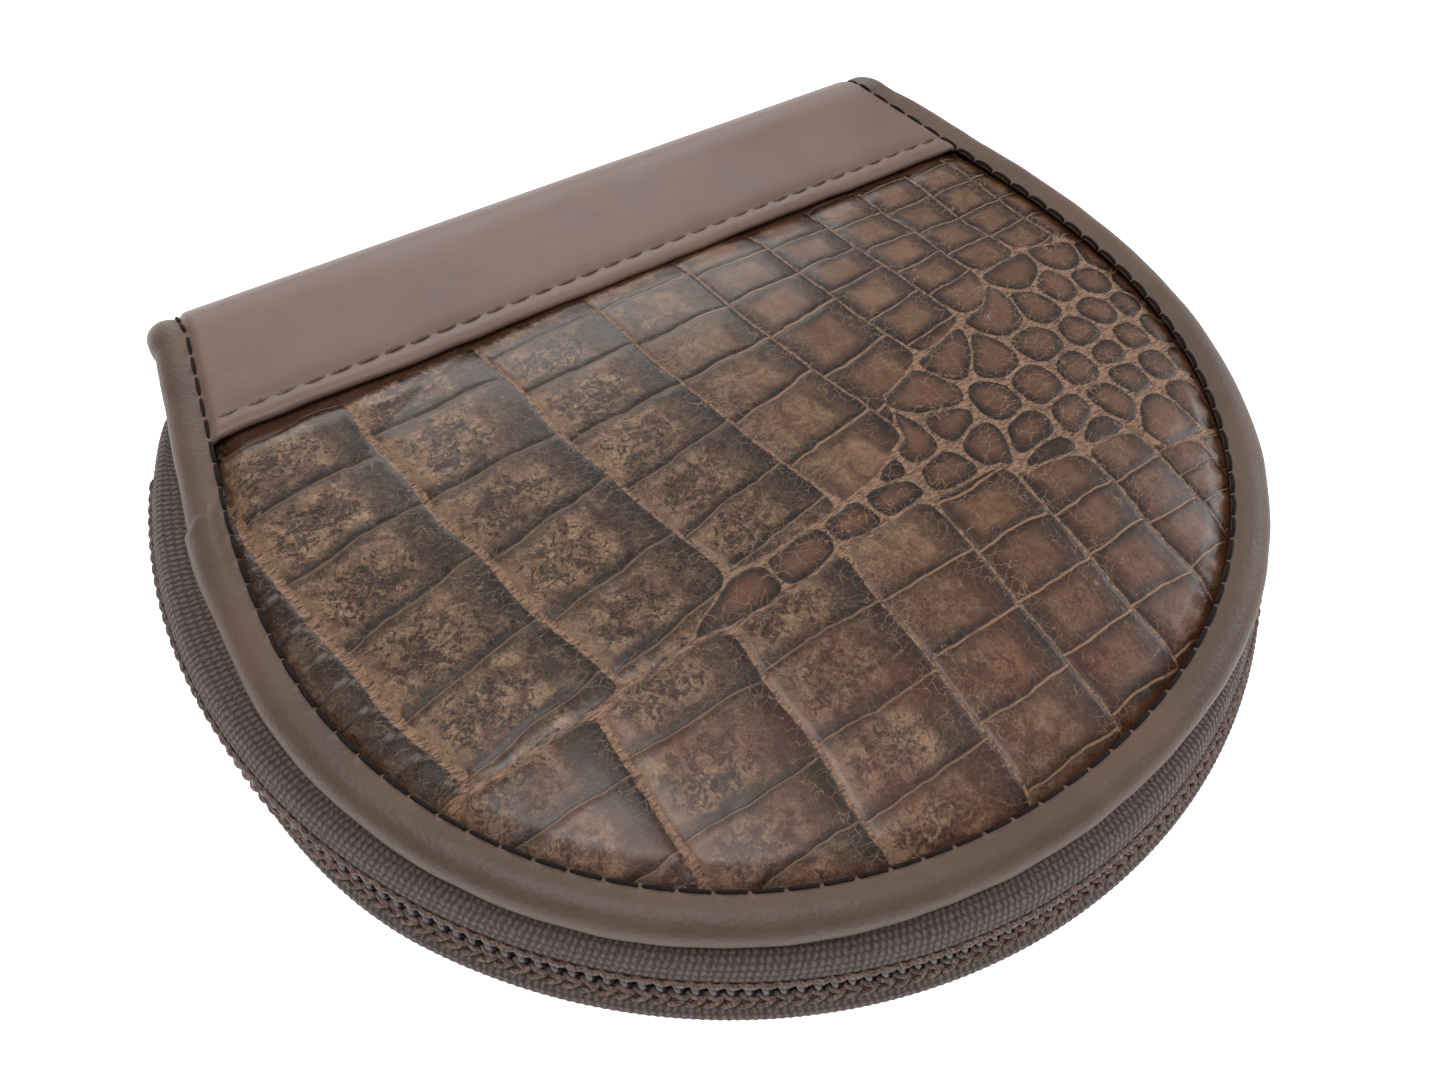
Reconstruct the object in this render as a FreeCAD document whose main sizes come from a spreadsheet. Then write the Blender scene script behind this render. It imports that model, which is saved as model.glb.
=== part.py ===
import FreeCAD, Part
import math
import os
import re
import Sketcher

# A zippered pouch in two bound halves, hinged along a leather spine.
# Row frame, in millimetres: +Z up from the flat of the underside, +Y towards the spine,
# the rounded nose towards -Y, +X to the right. The zip lies on a circular arc.
# Each half is drawn once with its mating plane at z = 0 and its outside towards +z.
# The lid is lifted to mid height, and the base is the same half turned over.

DRIVING_DIMENSIONS = (
    ("nose_radius", 54.7, "panel outline: arc across the nose"),
    ("nose_turn", 18.5, "degrees from straight ahead to the end of the nose arc"),
    ("corner_radius", 41.5, "panel outline: arc round each front corner"),
    ("side_radius", 78.6, "panel outline: shallow arc down each side"),
    ("side_turn", 101.0, "degrees from straight ahead where the straight taper starts"),
    ("nose_y", -38.8, "front of the stitch line"),
    ("fold_y", 37.75, "centre of the spine's round fold"),
    ("mid_height", 7.6, "mating plane above the surface it rests on"),
    ("lid_gap", 0.15, "half the gap between the two halves at the fold"),
    ("binding_reach", 3.1, "rolled edge outside the stitch line"),
    ("binding_inside", -0.3, "rolled edge inside the stitch line"),
    ("binding_low", 3.45, "underside of the rolled edge above the mating plane"),
    ("binding_high", 6.85, "top of the rolled edge above the mating plane"),
    ("stack_reach", 1.9, "sewn layers held inside the rolled edge"),
    ("slot_reach", 2.0, "fold of the rolled edge, just clear of the sewn layers"),
    ("slot_slack", 0.02, "slack over and under the sewn layers in the rolled edge"),
    ("stitch_reach", 0.0, "stitch line itself"),
    ("strip_reach", -0.35, "sides of the spine strip"),
    ("crown_reach", -0.6, "raised part of the scale panel"),
    ("hollow_reach", -1.5, "hollow under the raised part"),
    ("foam_reach", -1.55, "padding in the hollow"),
    ("board_reach", -1.0, "stiffener board"),
    ("tape_sewn_reach", -2.0, "inner edge of the sewn tape"),
    ("pocket_reach", -5.0, "slip pocket"),
    ("lining_low", 4.15, "inside face of the lining"),
    ("lining_thickness", 0.5, "lining leather"),
    ("board_low", 4.7, "inside face of the stiffener board"),
    ("board_thickness", 0.55, "stiffener board"),
    ("board_back_y", 36.0, "rear edge of the stiffener board"),
    ("skin_low", 5.55, "underside of the scale panel's sewn edge"),
    ("skin_high", 6.15, "outside of the scale panel's sewn edge"),
    ("skin_thickness", 0.7, "scale panel over the padding"),
    ("skin_hidden_y", 30.7, "rear edge of the scale panel, under the spine strip"),
    ("pad_low", 5.3, "underside of the padding"),
    ("crown_high", 8.4, "highest point of the crowned panel above the mating plane"),
    ("crown_flat", 7.6, "flat of the base panel below the mating plane"),
    ("crown_y", -5.7, "centre of the crown"),
    ("crown_rise", 20.0, "crown ellipsoid: semi-axis up"),
    ("crown_width", 97.0, "crown ellipsoid: semi-axis across"),
    ("crown_depth", 71.0, "crown ellipsoid: semi-axis fore and aft"),
    ("strip_front_y", 24.74, "turned front edge of the spine strip"),
    ("strip_thickness", 0.8, "spine strip leather"),
    ("strip_stitch_y", 26.8, "stitch row along the spine strip"),
    ("backing_low", 4.8, "inside radius of the spine backing"),
    ("backing_high", 6.05, "outside radius of the spine backing"),
    ("zip_y", 7.9, "centre of the zip's arc"),
    ("zip_radius", 51.8, "middle of the zip's chain"),
    ("tape_inner", 51.5, "inside radius of the tape"),
    ("tape_seat", 21.5, "inside radius that clears the sewn part of the tape"),
    ("tape_outer", 52.1, "outside radius of the tape"),
    ("tape_turn", 124.0, "degrees from the nose to each end of the tape"),
    ("tape_low", 1.5, "tape's edge at the chain"),
    ("tape_sewn_low", 2.95, "underside of the sewn part of the tape"),
    ("tape_back_y", 37.0, "rear end of the sewn part of the tape"),
    ("coil_low", 0.5, "chain's edge at the mating plane"),
    ("coil_half", 0.8, "half the chain's thickness along the radius"),
    ("coil_right_turn", 107.2, "degrees from the nose to the chain's closed end"),
    ("coil_lid_turn", 114.0, "degrees from the nose to the lid chain's open end"),
    ("coil_base_turn", 117.5, "degrees from the nose to the base chain's open end"),
    ("slider_turn", 112.2, "degrees from the nose to the parked slider"),
    ("slider_span", 9.4, "slider length as an angle about the arc's centre"),
    ("slider_half", 2.6, "half the slider's height"),
    ("slider_channel", 1.0, "half the slider's channel along the radius"),
    ("slider_plate", 0.8, "slider plate thickness"),
    ("neck_span", 1.8, "slider neck length as an angle"),
    ("neck_half", 0.35, "half the slider neck's height"),
    ("bail_length", 5.0, "bail along the zip"),
    ("bail_hole", 3.2, "opening of the bail along the zip"),
    ("bail_rise", 1.65, "opening of the bail above the slider"),
    ("bail_cap", 0.7, "bail thickness over its opening"),
    ("bail_half", 0.7, "half the bail's width"),
    ("pull_pin_rise", 0.85, "pull's cross-bar above the slider"),
    ("pull_half", 2.4, "half the pull's width"),
    ("pull_length", 15.0, "cross-bar to the tip of the pull"),
    ("pull_thickness", 0.9, "pull thickness"),
    ("pull_window", 3.6, "far end of the pull's window from the cross-bar"),
    ("pull_window_half", 1.2, "half the width of the pull's window"),
    ("pull_tip_radius", 2.0, "rounded corners of the pull's tip"),
    ("pull_lean", 4.0, "degrees the parked pull stands off the zip"),
    ("pocket_thickness", 0.5, "slip pocket leather"),
    ("pocket_mouth_y", 8.0, "open edge of the slip pocket"),
    ("stitch_pitch", 2.6, "length of one stitch with its gap"),
    ("stitch_length", 1.9, "length of one stitch"),
    ("stitch_width", 0.45, "thread across the stitch"),
    ("stitch_rise", 0.2, "thread above the leather"),
)
SHEET_FIRST_ROW = 2

# Scratch space round the pouch, for boxes that only trim.
REACH = 80.0
TALL = 12.0

# Clear space between the padding and the skin over it.
SLACK = 0.05

# Stitch pitches left clear at each end of the strip's stitch row.
STITCH_MARGIN = 0.4

UP = FreeCAD.Vector(0, 0, 1)
RIGHT = FreeCAD.Vector(1, 0, 0)
ALONG = FreeCAD.Vector(0, 1, 0)

doc = FreeCAD.newDocument("zippered_pouch")
sheet = doc.addObject("Spreadsheet::Sheet", "sizes")
sheet.Label = "driving dimensions"
size = {}
for row, (word, value, meaning) in enumerate(DRIVING_DIMENSIONS, SHEET_FIRST_ROW):
    sheet.set("A%d" % row, meaning)
    sheet.set("B%d" % row, str(value))
    sheet.setAlias("B%d" % row, word)
    size[word] = value
doc.recompute()


def bound(text):
    """Write the sheet's aliases in an expression out in full."""
    return re.sub("[a-z_]+", lambda word: "sizes." + word[0] if word[0] in size else word[0], text)


def bind(item, **places):
    """Bind an object's properties; a double underscore stands for a dot."""
    for place, text in places.items():
        item.setExpression(place.replace("__", "."), bound(text))
    return item


def add(kind, name):
    return doc.addObject(kind, name)


def box(name, x0, x1, y0, y1, z0, z1):
    """A box between six faces, each given as an expression."""
    item = add("Part::Box", name)
    bind(item, Length="( %s ) - ( %s )" % (x1, x0), Width="( %s ) - ( %s )" % (y1, y0))
    bind(item, Height="( %s ) - ( %s )" % (z1, z0))
    return bind(item, Placement__Base__x=x0, Placement__Base__y=y0, Placement__Base__z=z0)


def fuse(name, *shapes):
    item = add("Part::MultiFuse", name)
    item.Shapes = list(shapes)
    item.Refine = True
    return item


def common(name, *shapes):
    item = shapes[0]
    for count, tool in enumerate(shapes[1:], 1):
        joined = add("Part::Common", "%s_%d" % (name, count))
        joined.Base = item
        joined.Tool = tool
        item = joined
    return item


def cut(name, base, tool):
    item = add("Part::Cut", name)
    item.Base = base
    item.Tool = tool
    item.Refine = True
    return item


def between_y(name, low, high):
    reach = str(REACH)
    return box(name, "-" + reach, reach, low, high, "-" + reach, reach)


def below(name, high):
    reach = str(REACH)
    return box(name, "-" + reach, reach, "-" + reach, reach, "0", high)


def outward(turn):
    """Unit vector of the outline's outward direction, turned from the nose."""
    angle = math.radians(turn)
    return FreeCAD.Vector(math.sin(angle), -math.cos(angle), 0)


def outline_points(grow):
    """Ends of the grown outline's arcs on the right-hand side, nose first."""
    nose = FreeCAD.Vector(0, size["nose_y"] + size["nose_radius"], 0)
    corner = nose + outward(size["nose_turn"]) * (size["nose_radius"] - size["corner_radius"])
    side = corner + RIGHT * (size["corner_radius"] - size["side_radius"])
    nose_end = nose + outward(size["nose_turn"]) * (size["nose_radius"] + grow)
    corner_end = corner + RIGHT * (size["corner_radius"] + grow)
    side_end = side + outward(size["side_turn"]) * (size["side_radius"] + grow)
    back_y = size["fold_y"] + TALL
    taper = math.tan(math.radians(size["side_turn"] - 90))
    back = FreeCAD.Vector(side_end.x - (back_y - side_end.y) * taper, back_y, 0)
    return nose_end, corner_end, side_end, back


def mirrored(point):
    return FreeCAD.Vector(-point.x, point.y, 0)


def arc_through(start, end, radius):
    """Counter-clockwise arc bulging outward from start to end."""
    half = (end - start) * 0.5
    side = FreeCAD.Vector(half.y, -half.x, 0).normalize()
    middle = start + half + side * (radius - math.sqrt(radius ** 2 - half.Length ** 2))
    return Part.Arc(start, middle, end)


def grown_outline(name, grow):
    """The stitch line grown outward by a size, as a closed sketch in the mating plane."""
    sketch = add("Sketcher::SketchObject", name)
    right = list(outline_points(size[grow]))
    left = [mirrored(point) for point in reversed(right)]
    ring = right + left
    radii = ["corner_radius", "side_radius", None, None, None, "side_radius", "corner_radius"]
    radii.append("nose_radius")
    for index, alias in enumerate(radii):
        start = ring[index]
        end = ring[(index + 1) % len(ring)]
        if alias is None:
            sketch.addGeometry(Part.LineSegment(start, end), False)
        else:
            sketch.addGeometry(arc_through(start, end, size[alias] + size[grow]), False)
    corner_x = "( nose_radius - corner_radius ) * sin(nose_turn * 1deg)"
    corner_y = "nose_y + nose_radius - ( nose_radius - corner_radius ) * cos(nose_turn * 1deg)"
    side_x = "%s + corner_radius - side_radius" % corner_x
    side_x += " + ( side_radius + %s ) * sin(side_turn * 1deg)" % grow
    side_y = "%s - ( side_radius + %s ) * cos(side_turn * 1deg)" % (corner_y, grow)
    back_y = "fold_y + %s" % TALL
    places = (
        ("( nose_radius + %s ) * sin(nose_turn * 1deg)" % grow,
         "nose_y + nose_radius - ( nose_radius + %s ) * cos(nose_turn * 1deg)" % grow),
        ("%s + corner_radius + %s" % (corner_x, grow), corner_y),
        (side_x, side_y),
        ("%s - ( %s - ( %s ) ) * tan(side_turn * 1deg - 90deg)" % (side_x, back_y, side_y), back_y),
    )
    count = len(ring)
    for index in range(count):
        sketch.addConstraint(Sketcher.Constraint("Coincident", index, 2, (index + 1) % count, 1))
    for index, point in enumerate(ring):
        on_right = index < len(places)
        across, along = places[index] if on_right else places[count - 1 - index]
        name = "vertex_%d" % index
        for axis, reading, text in (("DistanceX", point.x, across), ("DistanceY", point.y, along)):
            number = sketch.addConstraint(Sketcher.Constraint(axis, index, 1, reading))
            sketch.renameConstraint(number, name + axis[-1])
            if axis == "DistanceX" and not on_right:
                text = "-( %s )" % text
            sketch.setExpression("Constraints." + name + axis[-1], bound(text))
    for index, alias in enumerate(radii):
        if alias:
            number = sketch.addConstraint(Sketcher.Constraint("Radius", index, size[alias] + size[grow]))
            sketch.renameConstraint(number, "arc_%d" % index)
            sketch.setExpression("Constraints.arc_%d" % index, bound("%s + %s" % (alias, grow)))
    return sketch


def plate(name, grow, low, high):
    """The outline grown by a size, between two heights."""
    solid = add("Part::Extrusion", name)
    solid.Base = grown_outline(name + "_edge", grow)
    solid.DirMode = "Custom"
    solid.Dir = UP
    solid.Solid = True
    bind(solid, LengthFwd="( %s ) - ( %s )" % (high, low))
    return bind(solid, Placement__Base__z=low)


def crown(name, shrink):
    """Ellipsoid whose cap is the crown of a panel."""
    dome = add("Part::Ellipsoid", name)
    bind(dome, Radius1="crown_rise - ( %s )" % shrink)
    bind(dome, Radius2="crown_width - ( %s )" % shrink)
    bind(dome, Radius3="crown_depth - ( %s )" % shrink)
    return bind(dome, Placement__Base__y="crown_y", Placement__Base__z="crown_high - crown_rise")


def fold_ring(name, inner, outer, x0, x1):
    """A quarter ring round the spine's fold, above the mating plane."""
    barrels = []
    for word, radius in (("outer", outer), ("inner", inner)):
        barrel = add("Part::Cylinder", "%s_%s" % (name, word))
        barrel.Placement.Rotation = FreeCAD.Rotation(ALONG, 90)
        bind(barrel, Radius=radius, Height="( %s ) - ( %s )" % (x1, x0))
        bind(barrel, Placement__Base__x=x0, Placement__Base__y="fold_y")
        barrels.append(barrel)
    ring = cut(name + "_ring", barrels[0], barrels[1])
    quarter = box(name + "_quarter", x0, x1, "fold_y", "fold_y + %s" % TALL, "lid_gap", str(TALL))
    return common(name, ring, quarter)


def sector(name, inner, outer, low, high, start, span):
    """Part of a ring about the zip's arc centre; angles count from the nose."""
    rings = []
    for word, radius in (("outer", outer), ("inner", inner)):
        ring = add("Part::Cylinder", "%s_%s" % (name, word))
        bind(ring, Radius=radius, Height="( %s ) - ( %s )" % (high, low), Angle="( %s ) * 1deg" % span)
        bind(ring, Placement__Base__y="zip_y", Placement__Base__z=low)
        ring.Placement.Rotation = FreeCAD.Rotation(UP, 0)
        bind(ring, Placement__Rotation__Angle="( ( %s ) - 90 ) * 1deg" % start)
        rings.append(ring)
    return cut(name, rings[0], rings[1])


def fold_half_text():
    """Half the spine's width at the fold, where the straight taper of the outline crosses it."""
    side_end = outline_points(size["stitch_reach"])[2]
    taper = math.tan(math.radians(size["side_turn"] - 90))
    return str(round(side_end.x - (size["fold_y"] - side_end.y) * taper, 3))


FOLD_HALF = fold_half_text()


def scale_panel(half, flat):
    """Scaled leather over the padding, with a flat sewn edge."""
    name = half + "_scales"
    front = between_y(name + "_front", "-%s" % REACH, "strip_front_y")
    hidden = between_y(name + "_hidden", "-%s" % REACH, "skin_hidden_y")
    edge = common(name + "_rim", plate(name + "_rim", "stack_reach", "skin_low", "skin_high"), hidden)
    raised = plate(name + "_raised", "crown_reach", "skin_high", "skin_high + %s" % TALL)
    cap = common(name + "_cap", raised, crown(name + "_dome", "0"), front)
    hollow = plate(name + "_hollow", "hollow_reach", "0", str(TALL))
    inside = between_y(name + "_inside", "-%s" % REACH, "strip_front_y - skin_thickness")
    void = common(name + "_void", hollow, crown(name + "_liner", "skin_thickness"), inside)
    if flat:
        cap = common(name + "_flat", cap, below(name + "_slab", "crown_flat"))
        void = common(name + "_void_flat", void, below(name + "_void_slab", "crown_flat - skin_thickness"))
    return cut(name, fuse(name + "_whole", edge, cap), void)


def padding(half, flat):
    """Foam that fills the crown."""
    name = half + "_foam"
    slab = plate(name + "_slab", "foam_reach", "pad_low", str(TALL))
    inside = between_y(name + "_inside", "-%s" % REACH, "strip_front_y - skin_thickness - %s" % SLACK)
    foam = common(name, slab, crown(name + "_dome", "skin_thickness + %s" % SLACK), inside)
    if flat:
        floor = below(name + "_floor", "crown_flat - skin_thickness - %s" % SLACK)
        foam = common(name + "_flat", foam, floor)
    return foam


def stiffener(half):
    name = half + "_board"
    ahead = between_y(name + "_ahead", "-%s" % REACH, "board_back_y")
    flat = plate(name + "_plate", "board_reach", "board_low", "board_low + board_thickness")
    return common(name, flat, ahead)


def lining(half):
    """Lining leather, round the inside of the fold."""
    name = half + "_inner"
    ahead = between_y(name + "_ahead", "-%s" % REACH, "fold_y")
    flat = plate(name + "_plate", "stack_reach", "lining_low", "lining_low + lining_thickness")
    width = "%s + strip_reach" % FOLD_HALF
    bend = fold_ring(name + "_bend", "lining_low", "lining_low + lining_thickness", "-( %s )" % width, width)
    return fuse(name, common(name + "_flat", flat, ahead), bend)


def spine_backing(half):
    """Stiff backing between the spine strip and the lining."""
    width = "%s + strip_reach" % FOLD_HALF
    return fold_ring(half + "_backer", "backing_low", "backing_high", "-( %s )" % width, width)


def spine_strip(half):
    """Plain leather strip from its turned edge round to the middle of the fold."""
    name = half + "_strip"
    top = plate(name + "_plate", "strip_reach", "skin_high", "skin_high + strip_thickness")
    flat = common(name + "_flat", top, between_y(name + "_between", "strip_front_y", "fold_y"))
    width = "%s + strip_reach" % FOLD_HALF
    bend = fold_ring(name + "_bend", "skin_high", "skin_high + strip_thickness", "-( %s )" % width, width)
    return fuse(name, flat, bend)


def binding(half):
    """Rolled edge folded round the sewn layers, carried round the fold at both ends."""
    name = half + "_roll"
    ahead = between_y(name + "_ahead", "-%s" % REACH, "fold_y")
    whole = plate(name + "_solid", "binding_reach", "binding_low", "binding_high")
    outer = common(name + "_outer", whole, ahead)
    slot = plate(name + "_slot", "slot_reach", "lining_low - slot_slack", "skin_high + slot_slack")
    middle = plate(name + "_middle", "binding_inside", "0", str(TALL))
    ring = cut(name + "_ring", cut(name + "_cup", outer, slot), middle)
    near = "%s + binding_inside" % FOLD_HALF
    far = "%s + binding_reach" % FOLD_HALF
    right = fold_ring(name + "_right", "binding_low", "binding_high", near, far)
    left = fold_ring(name + "_left", "binding_low", "binding_high", "-( %s )" % far, "-( %s )" % near)
    return fuse(name, ring, right, left)


def zip_tape(half):
    """Woven tape: sewn under the rolled edge, then turned down to the chain."""
    name = half + "_tape"
    span = "2 * tape_turn"
    skirt = sector(name + "_skirt", "tape_inner", "tape_outer", "tape_low", "binding_low", "-tape_turn", span)
    disc = sector(name + "_disc", "tape_seat", "tape_outer", "tape_sewn_low", "binding_low",
                  "-tape_turn", span)
    inner = plate(name + "_clear", "tape_sewn_reach", "0", str(TALL))
    sewn = common(name + "_sewn", cut(name + "_rim", disc, inner),
                  between_y(name + "_ahead", "-%s" % REACH, "tape_back_y"))
    return fuse(name, skirt, sewn)


def zip_coil(half, left_turn, right_turn):
    """The chain of one side, as one rail along the tape's edge."""
    inner = "zip_radius - coil_half"
    outer = "zip_radius + coil_half"
    span = "%s + %s" % (left_turn, right_turn)
    return sector(half + "_coil", inner, outer, "coil_low", "tape_low", "-" + left_turn, span)


def thread(name, places, height):
    """Stitches as small separate bars; each place is a point and a heading."""
    bars = []
    for point, heading in places:
        bar = Part.makeBox(size["stitch_length"], size["stitch_width"], size["stitch_rise"])
        bar.translate(FreeCAD.Vector(-size["stitch_length"] / 2, -size["stitch_width"] / 2, 0))
        bar.rotate(FreeCAD.Vector(), UP, heading)
        bar.translate(FreeCAD.Vector(point.x, point.y, height))
        bars.append(bar)
    item = add("Part::Feature", name)
    item.Shape = Part.makeCompound(bars)
    return item


def along_outline():
    """Stitch places round the outline from one end of the fold to the other."""
    stitch_line = grown_outline("stitch_line", "stitch_reach")
    doc.recompute()
    places = []
    for edge in stitch_line.Shape.Wires[0].OrderedEdges:
        count = max(1, round(edge.Length / size["stitch_pitch"]))
        for step in range(count):
            parameter = edge.getParameterByLength((step + 0.5) * edge.Length / count)
            point = edge.valueAt(parameter)
            direction = edge.tangentAt(parameter)
            heading = math.degrees(math.atan2(direction.y, direction.x))
            if point.y < size["fold_y"] - size["stitch_length"]:
                places.append((point, heading))
    return places


def along_strip():
    count = int(2 * (float(FOLD_HALF) / size["stitch_pitch"] - STITCH_MARGIN))
    start = -0.5 * (count - 1) * size["stitch_pitch"]
    return [(FreeCAD.Vector(start + step * size["stitch_pitch"], size["strip_stitch_y"], 0), 0)
            for step in range(count)]


def slip_pocket():
    name = "pocket"
    mouth = between_y(name + "_ahead", "-%s" % REACH, "pocket_mouth_y")
    flat = plate(name + "_plate", "pocket_reach", "lining_low - pocket_thickness", "lining_low")
    return common(name, flat, mouth)


def slider_body():
    """Two plates about the chain, joined by the neck that parts it."""
    start = "slider_turn - slider_span / 2"
    inner = "zip_radius - slider_channel"
    outer = "zip_radius + slider_channel"
    front = sector("slider_front", outer, outer + " + slider_plate", "-slider_half", "slider_half",
                   start, "slider_span")
    rear = sector("slider_rear", inner + " - slider_plate", inner, "-slider_half", "slider_half",
                  start, "slider_span")
    neck = sector("slider_neck", inner, outer, "-neck_half", "neck_half",
                  "slider_turn + slider_span / 2 - neck_span", "neck_span")
    return fuse("slider", front, rear, neck)


def slider_bail():
    """Bridge over the slider's front plate, drawn at the nose before it is turned to its place."""
    face = "zip_y - zip_radius - slider_channel - slider_plate"
    half = "bail_length / 2"
    block = box("bail_block", "-" + half, half, "%s - bail_rise - bail_cap" % face, face + " + 1",
                "-bail_half", "bail_half")
    window = box("bail_window", "-bail_hole / 2", "bail_hole / 2", "%s - bail_rise" % face, face + " + 2",
                 "-%s" % TALL, str(TALL))
    arch = cut("bail_arch", block, window)
    plate_face = add("Part::Cylinder", "bail_seat")
    bind(plate_face, Radius="zip_radius + slider_channel + slider_plate", Height="%s" % (2 * TALL))
    bind(plate_face, Placement__Base__y="zip_y", Placement__Base__z="-%s" % TALL)
    return cut("bail", arch, plate_face)


def rectangle(body, name, limits):
    """Sketch on the body's XZ plane: a rectangle between four limits, each a reading and its expression."""
    planes = {feature.Role: feature for feature in body.Origin.OriginFeatures}
    sketch = body.newObject("Sketcher::SketchObject", name)
    sketch.AttachmentSupport = [(planes["XZ_Plane"], "")]
    sketch.MapMode = "FlatFace"
    (x0, near), (x1, far), (half, wide) = limits
    corners = [FreeCAD.Vector(x, y, 0) for x, y in ((x0, -half), (x1, -half), (x1, half), (x0, half))]
    for index in range(4):
        sketch.addGeometry(Part.LineSegment(corners[index], corners[(index + 1) % 4]), False)
    for index in range(4):
        sketch.addConstraint(Sketcher.Constraint("Coincident", index, 2, (index + 1) % 4, 1))
        level = "Vertical" if index % 2 else "Horizontal"
        sketch.addConstraint(Sketcher.Constraint(level, index))
    places = (
        ("near", "DistanceX", 0, 1, x0, near),
        ("far", "DistanceX", 0, 2, x1, far),
        ("low", "DistanceY", 0, 1, -half, "-" + wide),
        ("high", "DistanceY", 2, 1, half, wide),
    )
    for place, axis, edge, end, reading, text in places:
        number = sketch.addConstraint(Sketcher.Constraint(axis, edge, end, reading))
        sketch.renameConstraint(number, place)
        sketch.setExpression("Constraints." + place, bound(text))
    return sketch


def pull_tab():
    """Flat tab whose round end bar turns inside the bail. Drawn with the bar upright at the origin."""
    body = doc.addObject("PartDesign::Body", "pull")
    length = (size["pull_length"], "pull_length")
    pad = body.newObject("PartDesign::Pad", "pull_plate")
    pad.Profile = rectangle(body, "pull_face", ((0, "0"), length, (size["pull_half"], "pull_half")))
    pad.Midplane = True
    bind(pad, Length="pull_thickness")
    doc.recompute()
    whole = pad.Shape.Volume
    window = (size["pull_window"], "pull_window")
    opening = body.newObject("PartDesign::Pocket", "pull_opening")
    limits = ((-TALL, str(-TALL)), window, (size["pull_window_half"], "pull_window_half"))
    opening.Profile = rectangle(body, "pull_window_face", limits)
    opening.Midplane = True
    bind(opening, Length="2 * pull_thickness")
    doc.recompute()
    if opening.Shape.Volume >= whole:
        raise RuntimeError("the pull's window cuts nothing")
    bar = body.newObject("PartDesign::AdditiveCylinder", "pull_bar")
    bind(bar, Radius="pull_thickness / 2", Height="2 * pull_half")
    bind(bar, Placement__Base__z="-pull_half")
    doc.recompute()
    tip = [
        "Edge%d" % (index + 1)
        for index, edge in enumerate(bar.Shape.Edges)
        if abs(edge.CenterOfMass.x - size["pull_length"]) < 1e-3 and edge.Length < size["pull_half"]
    ]
    rounded = body.newObject("PartDesign::Fillet", "pull_tip")
    rounded.Base = (bar, tip)
    bind(rounded, Radius="pull_tip_radius")
    body.Tip = rounded
    return body


def in_place(item, name, placement):
    """Label a piece with its own name and put it at its place in the whole pouch."""
    item.Label = name
    item.Placement = placement.multiply(item.Placement)
    return item


LIFT = FreeCAD.Placement(FreeCAD.Vector(0, 0, size["mid_height"]), FreeCAD.Rotation())
TURNED_OVER = FreeCAD.Placement(FreeCAD.Vector(0, 0, size["mid_height"]), FreeCAD.Rotation(ALONG, 180))


def turned_to(turn, radius):
    """Place at an angle from the nose and a radius on the zip's arc, at mid height."""
    point = FreeCAD.Vector(0, size["zip_y"], size["mid_height"]) + outward(turn) * radius
    return FreeCAD.Placement(point, FreeCAD.Rotation(UP, turn))


pieces = []
binding_top = size["binding_high"]
strip_top = size["skin_high"] + size["strip_thickness"]
for half, placement in (("lid", LIFT), ("base", TURNED_OVER)):
    on_base = half == "base"
    # The base is turned over, so its left is drawn on the right.
    turns = ("coil_right_turn", "coil_base_turn") if on_base else ("coil_lid_turn", "coil_right_turn")
    made = {
        "scale_panel": scale_panel(half, on_base),
        "padding": padding(half, on_base),
        "stiffener": stiffener(half),
        "lining": lining(half),
        "spine_backing": spine_backing(half),
        "spine_strip": spine_strip(half),
        "binding": binding(half),
        "zip_tape": zip_tape(half),
        "zip_coil": zip_coil(half, *turns),
    }
    doc.recompute()
    made["binding_stitches"] = thread(half + "_edge_thread", along_outline(), binding_top)
    made["strip_stitches"] = thread(half + "_strip_thread", along_strip(), strip_top)
    if not on_base:
        made["slip_pocket"] = slip_pocket()
    doc.recompute()
    for word, item in made.items():
        pieces.append(in_place(item, "%s_%s" % (half, word), placement))

doc.recompute()
turn_about_zip = FreeCAD.Placement(FreeCAD.Vector(0, 0, 0), FreeCAD.Rotation(UP, size["slider_turn"]),
                                   FreeCAD.Vector(0, size["zip_y"], 0))
pieces.append(in_place(slider_body(), "slider_body", LIFT))
pieces.append(in_place(slider_bail(), "slider_bail", LIFT.multiply(turn_about_zip)))
pin_radius = size["zip_radius"] + size["slider_channel"] + size["slider_plate"] + size["pull_pin_rise"]
pull_place = turned_to(size["slider_turn"], pin_radius)
pull_place.Rotation = FreeCAD.Rotation(UP, size["slider_turn"] - size["pull_lean"])
pieces.append(in_place(pull_tab(), "pull_tab", pull_place))
doc.recompute()

broken = [item.Name for item in doc.Objects if "Invalid" in item.State or "Error" in item.State]
if broken:
    raise RuntimeError("failed features: " + ", ".join(broken))
for item in pieces:
    if item.Shape.isNull() or not item.Shape.isValid():
        raise RuntimeError("bad shape: " + item.Label)

os.makedirs("parts", exist_ok=True)
for item in pieces:
    item.Shape.exportStep("parts/%s.step" % item.Label)
    bounds = item.Shape.optimalBoundingBox()
    print("%-24s %3d solids %9.1f mm3  x %.2f %.2f  y %.2f %.2f  z %.2f %.2f" % (
        item.Label, len(item.Shape.Solids), item.Shape.Volume, bounds.XMin, bounds.XMax,
        bounds.YMin, bounds.YMax, bounds.ZMin, bounds.ZMax))
print("pull pin %.3f %.3f %.3f" % tuple(pull_place.Base))
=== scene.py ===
import math

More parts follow.
